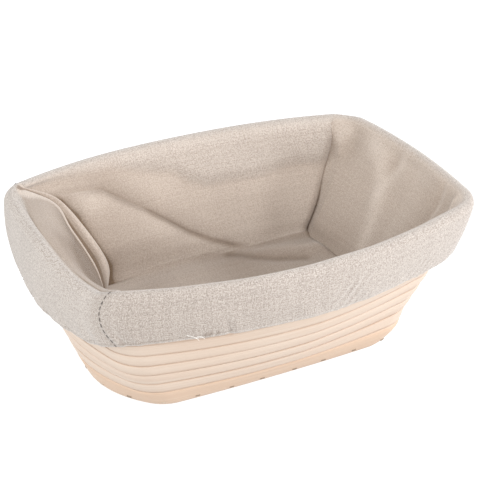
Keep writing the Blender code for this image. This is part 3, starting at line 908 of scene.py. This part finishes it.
def shape_liner():
    """Grids of points of the centre, left and right cloths, from the hem downwards."""
    knots = profile_knots()
    places = np.linspace(0.0, knots[-1], PROFILE_ROWS)
    share = across_cloth(SIDE_COLUMNS)
    front_ring = FRONT_LEFT + (FRONT_RIGHT - FRONT_LEFT) * share
    back_ring = BACK_LEFT + (BACK_RIGHT - BACK_LEFT) * share
    front_wall = pulled_to(wall_controls(front_ring), LEFT_FOLDS[:, -1], FRONT_RIGHT_SEAM)
    back_wall = pulled_to(wall_controls(back_ring), LEFT_FOLDS[:, 0], BACK_RIGHT_SEAM)
    floor = floor_controls(front_wall[-1], back_wall[-1])
    controls = np.concatenate((cuff_controls(front_ring), front_wall, floor, back_wall[::-1],
                               cuff_controls(back_ring)[::-1]), 0)
    floor_width = np.linalg.norm(back_wall[-1] - front_wall[-1], axis=-1).mean()
    floor_knots = knots[-1] + floor_width * np.array([share for share, _ in FLOOR_LEVELS])
    back_start = knots[-1] + floor_width
    all_knots = np.concatenate((knots, floor_knots, back_start + knots[-1] - knots[::-1]))
    floor_places = np.linspace(knots[-1], back_start, FLOOR_ROWS + 2)[1:-1]
    all_places = np.concatenate((places, floor_places, back_start + knots[-1] - places[::-1]))
    centre = spline(controls, all_knots, all_places)
    centre[:PROFILE_ROWS] = gathered(centre[:PROFILE_ROWS], front_ring)
    centre[-PROFILE_ROWS:] = gathered(centre[:-PROFILE_ROWS - 1:-1], back_ring)[::-1]

    columns = across_cloth(END_COLUMNS)
    left_ring = spline(LEFT_RINGS, LEFT_PLACES, columns)
    left_wall = np.moveaxis(spline(np.moveaxis(LEFT_FOLDS, 1, 0), LEFT_PLACES, columns), 0, 1)
    left = end_controls(left_ring, left_wall, floor[-1, 0], floor[0, 0], 1.0)
    left = gathered(spline(left, np.append(knots, knots[-1] + FLARE), places), left_ring)
    right_ring = FRONT_RIGHT + (BACK_RIGHT + FULL_RING - FRONT_RIGHT) * columns
    right_wall = pulled_to(wall_controls(right_ring), FRONT_RIGHT_SEAM, BACK_RIGHT_SEAM)
    right = end_controls(right_ring, right_wall, floor[0, -1], floor[-1, -1], -1.0)
    right = gathered(spline(right, np.append(knots, knots[-1] + FLARE), places), right_ring)

    floor_rows = slice(PROFILE_ROWS - 1, PROFILE_ROWS + FLOOR_ROWS + 1)
    centre[floor_rows] = pulled_to(centre[floor_rows], along_line(left[-1, ::-1], FLOOR_ROWS + 2),
                                   along_line(right[-1], FLOOR_ROWS + 2), 0.12)
    relieve_centre(centre, share)
    relieve_right(right, columns)
    sink_corner(right[:, ::-1])
    sink_corner(centre[:-PROFILE_ROWS - 1:-1, ::-1])
    return centre, left, right


# ---------------------------------------------------------------- the liner's painted light and shade

# A shade is painted light and shade: 1 in the darkest crease, 0 on plain cloth and below 0 a painted
# highlight on a pale crest.
# Columns of the left end, as shares of its width: the crests of its two ridges, where the
# face in front of them starts, and where that face turns to the front
SECOND_CREST = 0.068
FIRST_CREST = 0.36
FACE_START = 0.39
FACE_TURN = 0.54
# Patches of the right end: (y, z) in the middle, how far z is squashed, width and shade, above 0 painted
# shade and below 0 a painted highlight
RIGHT_PATCHES = (((0.040, 0.072), 0.7, 0.007, 0.16),
                 ((0.0075, 0.0735), 0.8, 0.0045, 0.15),
                 ((0.050, 0.0765), 0.7, 0.0035, -0.45))
# Painted highlights along the right end's ridges: their widths and strengths
RIGHT_RIDGE_WIDTHS = (0.0046, 0.0030)
RIGHT_RIDGE_HIGHLIGHTS = (0.26, 0.20)
# The floor's part that lies open to the light, as (x, y)
OPEN_FLOOR = (0.045, 0.010)
OPEN_FLOOR_WIDTH = 0.030


def hem_shade(rows, ring):
    """A paler cord of turned cloth along the hem, grey in the dip above it and at its puckers: painted
    highlights on the cord and gathers, painted shade in the dip and puckers.
    """
    above = rows[..., 2] - round_ring(HEM_HEIGHTS, HEM_RINGS, ring)
    uneven_dip = 0.5 + 0.5 * loop_noise(ring, 61)
    shade = 0.34 * np.clip(uneven_dip, 0.15, 1.0) * bump(above - HEM_DIP_HEIGHT, HEM_LINE_WIDTH)
    shade -= 0.30 * bump(above - HEM_CORD_HEIGHT, HEM_LINE_WIDTH)
    shade -= 0.30 * slanting_gathers(ring, above)
    below_top = smooth((PUCKER_HEIGHT - above) / 0.0015)
    for place in HEM_PUCKERS:
        shade += 0.5 * bump(ring - place - above * 4.0, 0.008) * below_top
    return shade * (1.0 - in_pocket())


def corner_shade(rows):
    """Painted shade in a dark line down the back right corner's seam, over a cloth whose first column it
    is.
    """
    low = smooth((0.062 - rows[..., 2]) / 0.03)
    line = smooth((0.080 - rows[..., 2]) / 0.01) * in_pocket()
    return (0.55 + 0.35 * low) * line * bump(lengths_along(rows, 1), 0.0006 + 0.0008 * low)


def left_end_shade():
    """Painted shade in the first ridge's undercut and over the face in front of the ridges, and painted
    highlights on their crests.
    """
    places = across_cloth(END_COLUMNS)[None, :]
    depth = np.linspace(0.0, 1.0, PROFILE_ROWS)[:, None]
    low = smooth((depth - 0.60) / 0.16)
    # Where the first ridge hides the strip behind it
    hidden = 0.13 + 0.2 * np.clip(depth - 0.59, 0.0, None)
    not_ridge = smooth((0.30 - places) / 0.03)
    undercut = smooth((places - hidden + 0.062) / 0.04) * not_ridge
    gap = smooth((places - hidden + 0.020) / 0.014) * not_ridge
    shade = (0.37 + 0.20 * low) * undercut + (0.33 + 0.45 * low) * gap
    face = smooth((places - FACE_START) / 0.04)
    shade += face * (0.38 + 0.44 * smooth((depth - 0.50) / 0.20))
    shade += 0.28 * smooth((places - FACE_TURN) / 0.08) * smooth((depth - 0.45) / 0.06)
    border = spline(LEFT_BORDER, LEFT_PLACES, places[0]) * MM
    shade += 0.22 * face * falloff(past_rim()[:, None] - border, 0.006)
    shade -= 0.12 * bump(places - FIRST_CREST, 0.022) + 0.15 * bump(places - SECOND_CREST, 0.016)
    # Painted shade at the foot of the first ridge
    foot = bump(places - 0.46, 0.08) * smooth((depth - 0.68) / 0.12)
    return np.clip((shade + 0.35 * foot) * left_tone(), -0.3, 0.95)


def back_band(back):
    """1 in the band under the back rim that is painted paler with light, 0 below it."""
    return smooth((crease_distance(back[..., 0], back[..., 2], BACK_BAND) + 0.002) / 0.006)


def centre_tone(centre):
    """The pocket's tone on the centre cloth: part cuff, part pocket in the back's band, where the cuff's
    paler tone is painted light.
    """
    tone = np.repeat(inside_map(len(centre)), SIDE_COLUMNS, 1)
    tone[-PROFILE_ROWS:] *= 1.0 - 0.45 * back_band(centre[-PROFILE_ROWS:])
    return tone


def back_wall_shade(back):
    """Painted shade in dark lines in the back wall's valley and beside the left end's second ridge, and
    painted light on its pale facet and band.
    """
    x, z = back[..., 0], back[..., 2]
    distance = crease_distance(x, z, BACK_CREASE)
    along = smooth((x + 0.060) / 0.02) * smooth((0.034 - x) / 0.015)
    sharp = 0.40 + 0.26 * smooth((x + 0.026) / 0.006)
    shade = sharp * bump(distance + 0.0006, 0.0014) + 0.14 * bump(distance - 0.0035, 0.0045)
    shade *= along
    past_ridge = lengths_along(back, 1) - np.interp(z, RIDGE_HEIGHTS, RIDGE_REACH)
    ridge_shadow = 0.55 * falloff(past_ridge, 0.0012) + 0.24 * falloff(past_ridge, 0.008)
    shade += ridge_shadow * smooth((0.0765 - z) / 0.008)
    # Painted highlight on the pale facet above the valley, and painted light from the right: more shade
    # to the left, less to the right
    shade -= 0.26 * bump((x + 0.055) / 0.010, 1.0) * bump((z - 0.0655) / 0.005, 1.0)
    shade += 0.19 * smooth((-0.010 - x) / 0.04) - 0.10 * smooth(x / 0.03)
    band = back_band(back)
    # In the band under the back rim: less painted shade, and a painted highlight
    return (shade * (1.0 - 0.7 * band) - 0.16 * band) * in_pocket()[::-1]


def floor_shade(floor):
    """The floor's painted shade: lighter where it lies open and to the left, dark along the right seam
    and the fold, with a painted highlight on the ridge.
    """
    x, y = floor[..., 0], floor[..., 1]
    beside_right = lengths_along(floor[:, ::-1], 1)[:, ::-1]
    shade = 0.50 - 0.22 * spot(x, y, OPEN_FLOOR, OPEN_FLOOR_WIDTH)
    shade -= 0.14 * bump(crease_distance(x, y, FLOOR_HIGHLIGHT_LINE), 0.0025)
    shade -= 0.40 * smooth((0.024 - x) / 0.04)
    shade += 0.45 * bump(beside_right, 0.0013)
    shade += 0.32 * bump(crease_distance(x, y, FLOOR_SHADE_LINE), 0.0030)
    return shade


def centre_cloth_shade(centre):
    """Painted shade and highlights of the centre cloth, from the front hem over the floor to the back
    hem.
    """
    across = across_cloth(SIDE_COLUMNS)[None, :]
    front_ring = FRONT_LEFT + (FRONT_RIGHT - FRONT_LEFT) * across
    back_ring = BACK_LEFT + (BACK_RIGHT - BACK_LEFT) * across
    front, back = centre[:PROFILE_ROWS], centre[-PROFILE_ROWS:]
    # Painted shade: the front cuff darker towards its left, standing in for light that falls off there
    front_shade = 0.13 * smooth((0.62 - across) / 0.5) * (1.0 - in_pocket())
    front_shade = front_shade + hem_shade(front, front_ring)
    # Painted shade where the front wall meets the floor
    front_shade += 0.44 * smooth((POCKET_FLOOR + 0.006 - front[..., 2]) / 0.006)
    back_shade = hem_shade(back[::-1], back_ring)[::-1] + back_wall_shade(back)
    back_shade += corner_shade(back[::-1, ::-1])[::-1, ::-1]
    # Painted shade along the back wall's foot, from the middle rightwards
    foot = smooth((POCKET_FLOOR + 0.005 - back[..., 2]) / 0.005)
    back_shade += 0.20 * (foot * smooth((back[..., 0] + 0.01) / 0.03))
    return np.concatenate((front_shade, floor_shade(centre[PROFILE_ROWS:-PROFILE_ROWS]), back_shade))


def left_cloth_shade(left):
    """Painted light and shade of the left cloth, with painted shade where it puckers beside the front
    left seam.
    """
    columns = across_cloth(END_COLUMNS)
    shade = left_end_shade() + hem_shade(left, spline(LEFT_RINGS, LEFT_PLACES, columns))
    return shade + 0.14 * smooth((columns - 0.90) / 0.05) * (1.0 - in_pocket())


def right_cloth_shade(right):
    """Painted shade of the right cloth: darker low down and to the front, with painted highlights along
    its ridges.
    """
    y, z = right[..., 1], right[..., 2]
    pocket = in_pocket()
    ground = 0.22 - 0.12 * smooth((z - 0.068) / 0.012)
    ground = ground + 0.14 * smooth((-0.012 - y) / 0.02) + 0.20 * smooth((0.045 - z) / 0.02)
    shade = corner_shade(right[:, ::-1])[:, ::-1] + pocket * ground
    for middle, squash, width, strength in RIGHT_PATCHES:
        shade += strength * pocket * spot(y, z, middle, width, squash)
    for line, width, strength in zip(RIGHT_RIDGES, RIGHT_RIDGE_WIDTHS, RIGHT_RIDGE_HIGHLIGHTS):
        shade -= strength * pocket * bump(crease_distance(y, z, line), width)
    # A painted highlight up the front of the right end, high up
    shade -= 0.16 * pocket * bump(y + 0.0365, 0.0015) * smooth((z - 0.058) / 0.01)
    columns = across_cloth(END_COLUMNS)
    ring = FRONT_RIGHT + (BACK_RIGHT + FULL_RING - FRONT_RIGHT) * columns
    return np.clip(shade, -0.4, 0.9) + hem_shade(right, ring)


# ---------------------------------------------------------------- the liner's relief

# How the back right corner's cloth is drawn into its seam low down, and stands out high up
SEAM_SINK = 0.0020
SEAM_SINK_WIDTH = 0.0017
SEAM_RISE = 0.0007
SEAM_RISE_WIDTH = 0.0014
SEAM_DIRECTION = (0.66, 0.72, -0.2)
# The right end's ridges and its tuck: height and width
RIGHT_RIDGE_RISE = 0.0006
RIGHT_RIDGE_REACH = 0.007
TUCK_RISE = 0.0016
TUCK_WIDTH = 0.0028
# Soft hollows of the right end: (y, z) in the middle, how far z is squashed, width and depth
RIGHT_HOLLOWS = (((0.043, 0.074), 1.0, 0.006, 0.0014), ((0.006, 0.075), 0.7, 0.006, 0.0012))
# The floor's ridge and fold: height or depth, and width
FLOOR_RIDGE_RISE = 0.0018
FLOOR_RIDGE_WIDTH = 0.005
FLOOR_FOLD_DEPTH = 0.0010
FLOOR_FOLD_WIDTH = 0.004

def sink_corner(rows):
    """Draws a cloth's first columns back into the back right corner's seam."""
    away = lengths_along(rows, 1)
    height = rows[..., 2]
    low = smooth((0.074 - height) / 0.05) * in_pocket()
    high = smooth((height - 0.068) / 0.008) * in_pocket()
    depth = (0.0004 + SEAM_SINK * low) * (low > 0.0) * bump(away, SEAM_SINK_WIDTH)
    depth -= SEAM_RISE * high * bump(away, SEAM_RISE_WIDTH)
    rows += depth[..., None] * np.array(SEAM_DIRECTION)


def relieve_right(right, columns):
    """Ridges down the right end, a tuck beside its back seam and a few soft hollows."""
    y, z = right[..., 1], right[..., 2]
    edge = smooth(np.minimum(columns, 1.0 - columns) / 0.05)[None, :]
    hold = edge * in_pocket() * smooth((z - POCKET_FLOOR) / 0.008)
    relief = RIPPLE_DEPTH * ripples(y, z, 0.03, 71)
    for line in RIGHT_RIDGES:
        relief += RIGHT_RIDGE_RISE * bump(crease_distance(y, z, line), RIGHT_RIDGE_REACH)
    relief += TUCK_RISE * bump(crease_distance(y, z, RIGHT_TUCK), TUCK_WIDTH)
    for middle, squash, width, depth in RIGHT_HOLLOWS:
        relief -= depth * spot(y, z, middle, width, squash)
    relief -= 0.0008 * bump(y + 0.0345, 0.0022) * smooth((z - 0.055) / 0.01)
    right[..., 0] -= relief * hold * 0.85
    right[..., 2] += relief * hold * 0.5


def relieve_centre(centre, share):
    """Soft folds of the front wall, the floor and the back wall."""
    edge = smooth(np.minimum(share, 1.0 - share) / 0.04)[None, :]
    front = centre[:PROFILE_ROWS]
    x, z = front[..., 0], front[..., 2]
    hold = edge * in_pocket() * smooth((z - POCKET_FLOOR) / 0.004)
    front[..., 1] += FRONT_RIPPLE_DEPTH * ripples(x, z, 0.04, 31) * hold

    floor = centre[PROFILE_ROWS:-PROFILE_ROWS]
    x, y = floor[..., 0], floor[..., 1]
    across = np.linspace(0.0, 1.0, len(floor))[:, None]
    hold = np.sin(math.pi * across) ** 0.6 * edge
    fold = crease_distance(x, y, FLOOR_FOLD)
    ridge = crease_distance(x, y, FLOOR_RIDGE)
    floor[..., 2] += (FLOOR_RIDGE_RISE * bump(ridge, FLOOR_RIDGE_WIDTH)
                      - FLOOR_FOLD_DEPTH * bump(fold, FLOOR_FOLD_WIDTH)) * hold
    floor[..., 2] += RIPPLE_DEPTH * ripples(x, y, 0.03, 51) * hold

    back = centre[-PROFILE_ROWS:]
    x, z = back[..., 0], back[..., 2]
    hold = edge * in_pocket()[::-1] * smooth((z - POCKET_FLOOR + 0.001) / 0.003)
    relief = back_wall_relief(x, z) * hold
    back[..., 1] -= relief * 0.86
    back[..., 2] += relief * 0.5


# ---------------------------------------------------------------- sewing

# A stitch's places along it and its swelling there; how wide, how thick and how far out of
# the cloth it is, as shares of its radius
STITCH_PLACES = np.array((0.0, 0.12, 0.5, 0.88, 1.0))
STITCH_SWELL = np.array((0.25, 0.85, 1.0, 0.85, 0.25))
STITCH_SIDES = 6
STITCH_WIDTH = 1.15
STITCH_THICKNESS = 0.8
STITCH_RISE = 0.6
# Stitch length, gap and radius of the seams and of the hem, and their lift off the cloth
SEAM_STITCH = (0.0021, 0.0010, 0.00027)
HEM_STITCH = (0.0017, 0.0011, 0.00016)
HEM_STATIONS = 720
SEAM_LIFT = 0.00012
HEM_LIFT = 0.00085
# The seams' stitches start below the cuff's lowest part, as a share of its height
SEAM_START = -0.12
# The elastic band's section, out and up from the hem's edge (mm)
ELASTIC_SECTION = ((-0.9, 1.5), (-0.4, 1.5), (-0.35, 3.0), (-0.4, 4.5), (-0.9, 4.5), (-0.95, 3.0))
# Two strands of loose thread (mm)
LOOSE_STRANDS = (
    ((-71.7, -77.0, 63.1), (-69.7, -77.8, 62.7), (-67.1, -78.0, 61.3), (-65.7, -77.6, 59.1)),
    ((-67.3, -78.0, 61.5), (-65.5, -78.2, 61.7), (-63.7, -78.2, 60.7), (-63.2, -78.0, 59.5)))
LOOSE_RADIUS = 0.00008


def dashes(name, path, normals, stitch, material, node_name):
    """Separate short stitches along a path, each a flattened tapering dash."""
    length, gap, radius = stitch
    lengths = lengths_along(path, 0)
    starts = np.arange(0.3 * gap, lengths[-1] - length, length + gap)
    angle = np.linspace(0.0, math.tau, STITCH_SIDES, endpoint=False)
    quads, _ = grid_faces(len(STITCH_PLACES), STITCH_SIDES, close_columns=True)
    points, faces = [], []
    for start in starts:
        at = start + length * STITCH_PLACES
        centre = along_path(path, lengths, at)
        up = along_path(normals, lengths, at)
        along = centre[-1] - centre[0]
        side = np.cross(up, along / np.linalg.norm(along))
        side /= np.linalg.norm(side, axis=1, keepdims=True)
        centre = centre + up * (STITCH_RISE * radius * (STITCH_SWELL - STITCH_RISE))[:, None]
        ring = (side[:, None] * np.cos(angle)[None, :, None] * STITCH_WIDTH
                + up[:, None] * np.sin(angle)[None, :, None] * STITCH_THICKNESS)
        first = len(points)
        last = first + (len(STITCH_PLACES) - 1) * STITCH_SIDES
        points.extend((centre[:, None] + ring * (radius * STITCH_SWELL)[:, None, None]).reshape(-1, 3))
        faces.extend((quads + first).tolist())
        faces.append(list(range(first, first + STITCH_SIDES))[::-1])
        faces.append(list(range(last, last + STITCH_SIDES)))
    mesh = bpy.data.meshes.new(name)
    mesh.from_pydata([tuple(point) for point in points], [], faces)
    stitches = add_object(name, mesh, material, "liner")
    if node_name:
        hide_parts(node_name)
    return stitches


def outer_rows(low_share, high_share):
    """Rows of a cloth's grid that lie on the cuff's outside, between shares of its height."""
    knots = profile_knots()
    first, last = knots[len(HEM_TURN) - 1], knots[len(HEM_TURN) + len(CUFF_SHARES) + 1]
    step = knots[-1] / (PROFILE_ROWS - 1)
    low = first + (last - first) * low_share
    high = first + (last - first) * high_share
    return slice(int(round(low / step)), int(round(high / step)))


def sew_seam(name, cloth_points, columns, top, material, node_name):
    """Dashed stitches up the cuff along one edge of a cloth, to a share of its height."""
    normals = grid_normals(cloth_points)
    rows = outer_rows(SEAM_START, top)
    path = cloth_points[rows, columns]
    outward = normals[rows, columns]
    outward *= np.sign((outward * path * (1, 1, 0)).sum())
    lift = CLOTH_THICKNESS / 2.0 + SEAM_LIFT
    return dashes(name, path + outward * lift, outward, SEAM_STITCH, material, node_name)


def ring_line(offset, height):
    """A closed level line round the cuff at an offset from the hem's edge line."""
    ring = np.linspace(0.0, FULL_RING, HEM_STATIONS, endpoint=False)
    off = round_ring(HEM_OFFSETS, HEM_RINGS, ring) + offset
    up = round_ring(HEM_HEIGHTS, HEM_RINGS, ring) + height
    place, outward = on_outline(wall_outline(up, ring), off, ring)
    return in_space(place, up), outward


def make_elastic(material):
    """The flat elastic band inside the turned hem."""
    points = np.stack([ring_line(out * MM, up * MM)[0] for out, up in ELASTIC_SECTION])
    closed = closed_up(points)
    lay = np.stack((lengths_along(closed, 1), lengths_along(closed, 0)), -1)
    mesh = grid_mesh("hem_elastic_band", points, {"cloth": lay}, True, True)
    band = add_object("hem_elastic_band", mesh, material, "liner")
    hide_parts("hem_elastic")
    return band


def sew_hem(material):
    """Small stitches round the hem, above its fold."""
    line, outward = ring_line(HEM_LIFT, HEM_STITCH_HEIGHT)
    line = np.concatenate((line, line[:1]))
    outward = np.concatenate((outward, outward[:1]))
    outward = np.concatenate((outward, np.zeros((len(outward), 1))), -1)
    return dashes("hem_stitches", line, outward, HEM_STITCH, material, "hem_thread")


def make_loose_thread(material):
    """A pale frayed end of thread hanging from the front hem."""
    pieces = []
    for number, strand in enumerate(LOOSE_STRANDS, 1):
        curve = bpy.data.curves.new(f"loose_thread_{number}", "CURVE")
        curve.dimensions = "3D"
        curve.bevel_depth = LOOSE_RADIUS
        curve.bevel_resolution = 2
        curve.use_fill_caps = True
        path = curve.splines.new("NURBS")
        path.points.add(len(strand) - 1)
        for point, place in zip(path.points, strand):
            point.co = (*(value * MM for value in place), 1.0)
        path.use_endpoint_u = True
        path.order_u = 4
        curve.materials.append(material)
        thread = bpy.data.objects.new(curve.name, curve)
        bpy.context.scene.collection.objects.link(thread)
        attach(thread, "liner")
        pieces.append(thread)
    return pieces


# ---------------------------------------------------------------- stage

WORLD_STRENGTH = 1.0
WHITE = (1.0, 1.0, 1.0, 1.0)
FLOOR_REACH = 4.0
FLOOR_DEPTH = 0.0002
FLOOR_GLOW = 0.82
LIGHT_TARGET = (0.0, 0.0, 0.04)
# The camera's place, its direction from the basket and its tilt (degrees), and its lens (mm)
CAMERA_PLACE = (-0.44254, -0.75715, 0.52282)
CAMERA_AZIMUTH = -30.3
CAMERA_ELEVATION = 27.95
CAMERA_ROLL = 1.07
CAMERA_LENS = 151.0
CAMERA_SENSOR = 36.0


def add_light(name, location, size, power, colour):
    """A soft rectangular light that points at the basket."""
    lamp = bpy.data.lights.new(name, "AREA")
    lamp.shape = "RECTANGLE"
    lamp.size, lamp.size_y = size
    lamp.energy = power
    lamp.color = colour
    holder = bpy.data.objects.new(name, lamp)
    holder.location = location
    direction = Vector(LIGHT_TARGET) - Vector(location)
    holder.rotation_euler = direction.to_track_quat("-Z", "Y").to_euler()
    bpy.context.scene.collection.objects.link(holder)


def make_stage():
    """A plain white floor, an even white surround and soft studio lights."""
    world = bpy.data.worlds.new("studio")
    bpy.context.scene.world = world
    world.use_nodes = True
    background = world.node_tree.nodes["Background"]
    background.inputs["Color"].default_value = WHITE
    background.inputs["Strength"].default_value = WORLD_STRENGTH

    mesh = bpy.data.meshes.new("studio_floor")
    corners = [(x * FLOOR_REACH, y * FLOOR_REACH, 0.0) for x, y in ((-1, -1), (1, -1), (1, 1), (-1, 1))]
    mesh.from_pydata(corners, [], [(0, 1, 2, 3)])
    n = Nodes("white_floor")
    tone = n.noise(n.object_place(), 3.0, 2.0)
    colour = n.blend(tone, (0.245, 0.245, 0.245), (0.255, 0.255, 0.255))
    n.shader.inputs["Emission Color"].default_value = WHITE
    mesh.materials.append(n.set(base_color=colour, roughness=0.9, emission_strength=FLOOR_GLOW))
    floor = bpy.data.objects.new("studio_floor", mesh)
    floor.location = (0.0, 0.0, -FLOOR_DEPTH)
    bpy.context.scene.collection.objects.link(floor)

    add_light("front", (-0.1, -1.35, 0.65), (0.8, 0.6), 10.5, (1.0, 0.99, 0.975))
    add_light("right", (1.2, -0.6, 0.5), (0.9, 0.9), 18.5, (0.98, 1.0, 1.02))
    add_light("left", (-1.3, 0.1, 0.65), (0.9, 0.9), 13.5, (0.94, 0.99, 1.01))
    bpy.context.scene.view_settings.view_transform = "Standard"


def make_camera():
    """The camera stands in front of the basket, to its left, and looks down at it."""
    azimuth, elevation, roll = (math.radians(angle)
                                for angle in (CAMERA_AZIMUTH, CAMERA_ELEVATION, CAMERA_ROLL))
    back = Vector((math.sin(azimuth) * math.cos(elevation),
                   -math.cos(azimuth) * math.cos(elevation), math.sin(elevation)))
    right = Vector((math.cos(azimuth), math.sin(azimuth), 0.0))
    up = back.cross(right)
    right, up = (right * math.cos(roll) + up * math.sin(roll),
                 up * math.cos(roll) - right * math.sin(roll))
    camera_data = bpy.data.cameras.new("camera")
    camera_data.lens = CAMERA_LENS
    camera_data.sensor_width = CAMERA_SENSOR
    camera = bpy.data.objects.new("camera", camera_data)
    axes = Matrix((right, up, back)).transposed()
    camera.matrix_world = Matrix.Translation(CAMERA_PLACE) @ axes.to_4x4()
    bpy.context.scene.collection.objects.link(camera)
    bpy.context.scene.camera = camera


make_camera()
make_stage()
linen = linen_material()
make_cane_wall(cane_material())
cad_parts["base_board"].data.materials[0] = plywood_material()
steel = nail_material("dull_steel", 1800.0, (0.19, 0.14, 0.10), (0.33, 0.25, 0.185), 0.6, (0.4, 0.65))
sunk = nail_material("filled_nail", 1500.0, (0.376, 0.285, 0.217), (0.456, 0.376, 0.302), 0.0, (0.6, 0.8))
for node_name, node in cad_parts.items():
    if node_name.startswith("base_nail"):
        node.data.materials[0] = sunk if node_name[-2:] in SUNK_NAILS else steel

centre_points, left_points, right_points = shape_liner()
centre = add_cloth("liner_centre_cloth", centre_points, centre_tone(centre_points),
                   centre_cloth_shade(centre_points), linen, "liner_centre_panel")
left = add_cloth("liner_left_cloth", left_points, left_tone(),
                 left_cloth_shade(left_points), linen, "liner_left_end_panel")
right = add_cloth("liner_right_cloth", right_points, inside_map(len(right_points)),
                  right_cloth_shade(right_points), linen, "liner_right_end_panel")
grey_thread = thread_material("grey_thread", (0.07, 0.06, 0.05), (0.17, 0.145, 0.125))
pale_thread = thread_material("pale_thread", (0.25, 0.21, 0.18), (0.44, 0.39, 0.34))
white_thread = thread_material("white_thread", (0.80, 0.78, 0.74), (0.92, 0.90, 0.87))
sewing = [
    sew_seam("left_front_stitches", left_points, -1, 1.12, grey_thread, "left_seam_thread"),
    sew_seam("left_back_stitches", left_points, 0, 1.05, grey_thread, None),
    sew_seam("right_front_stitches", right_points, 0, 0.97, grey_thread, "right_seam_thread"),
    sew_seam("right_back_stitches", right_points, -1, 1.05, grey_thread, None),
    sew_hem(pale_thread),
    make_elastic(elastic_material()),
    *make_loose_thread(white_thread),
]
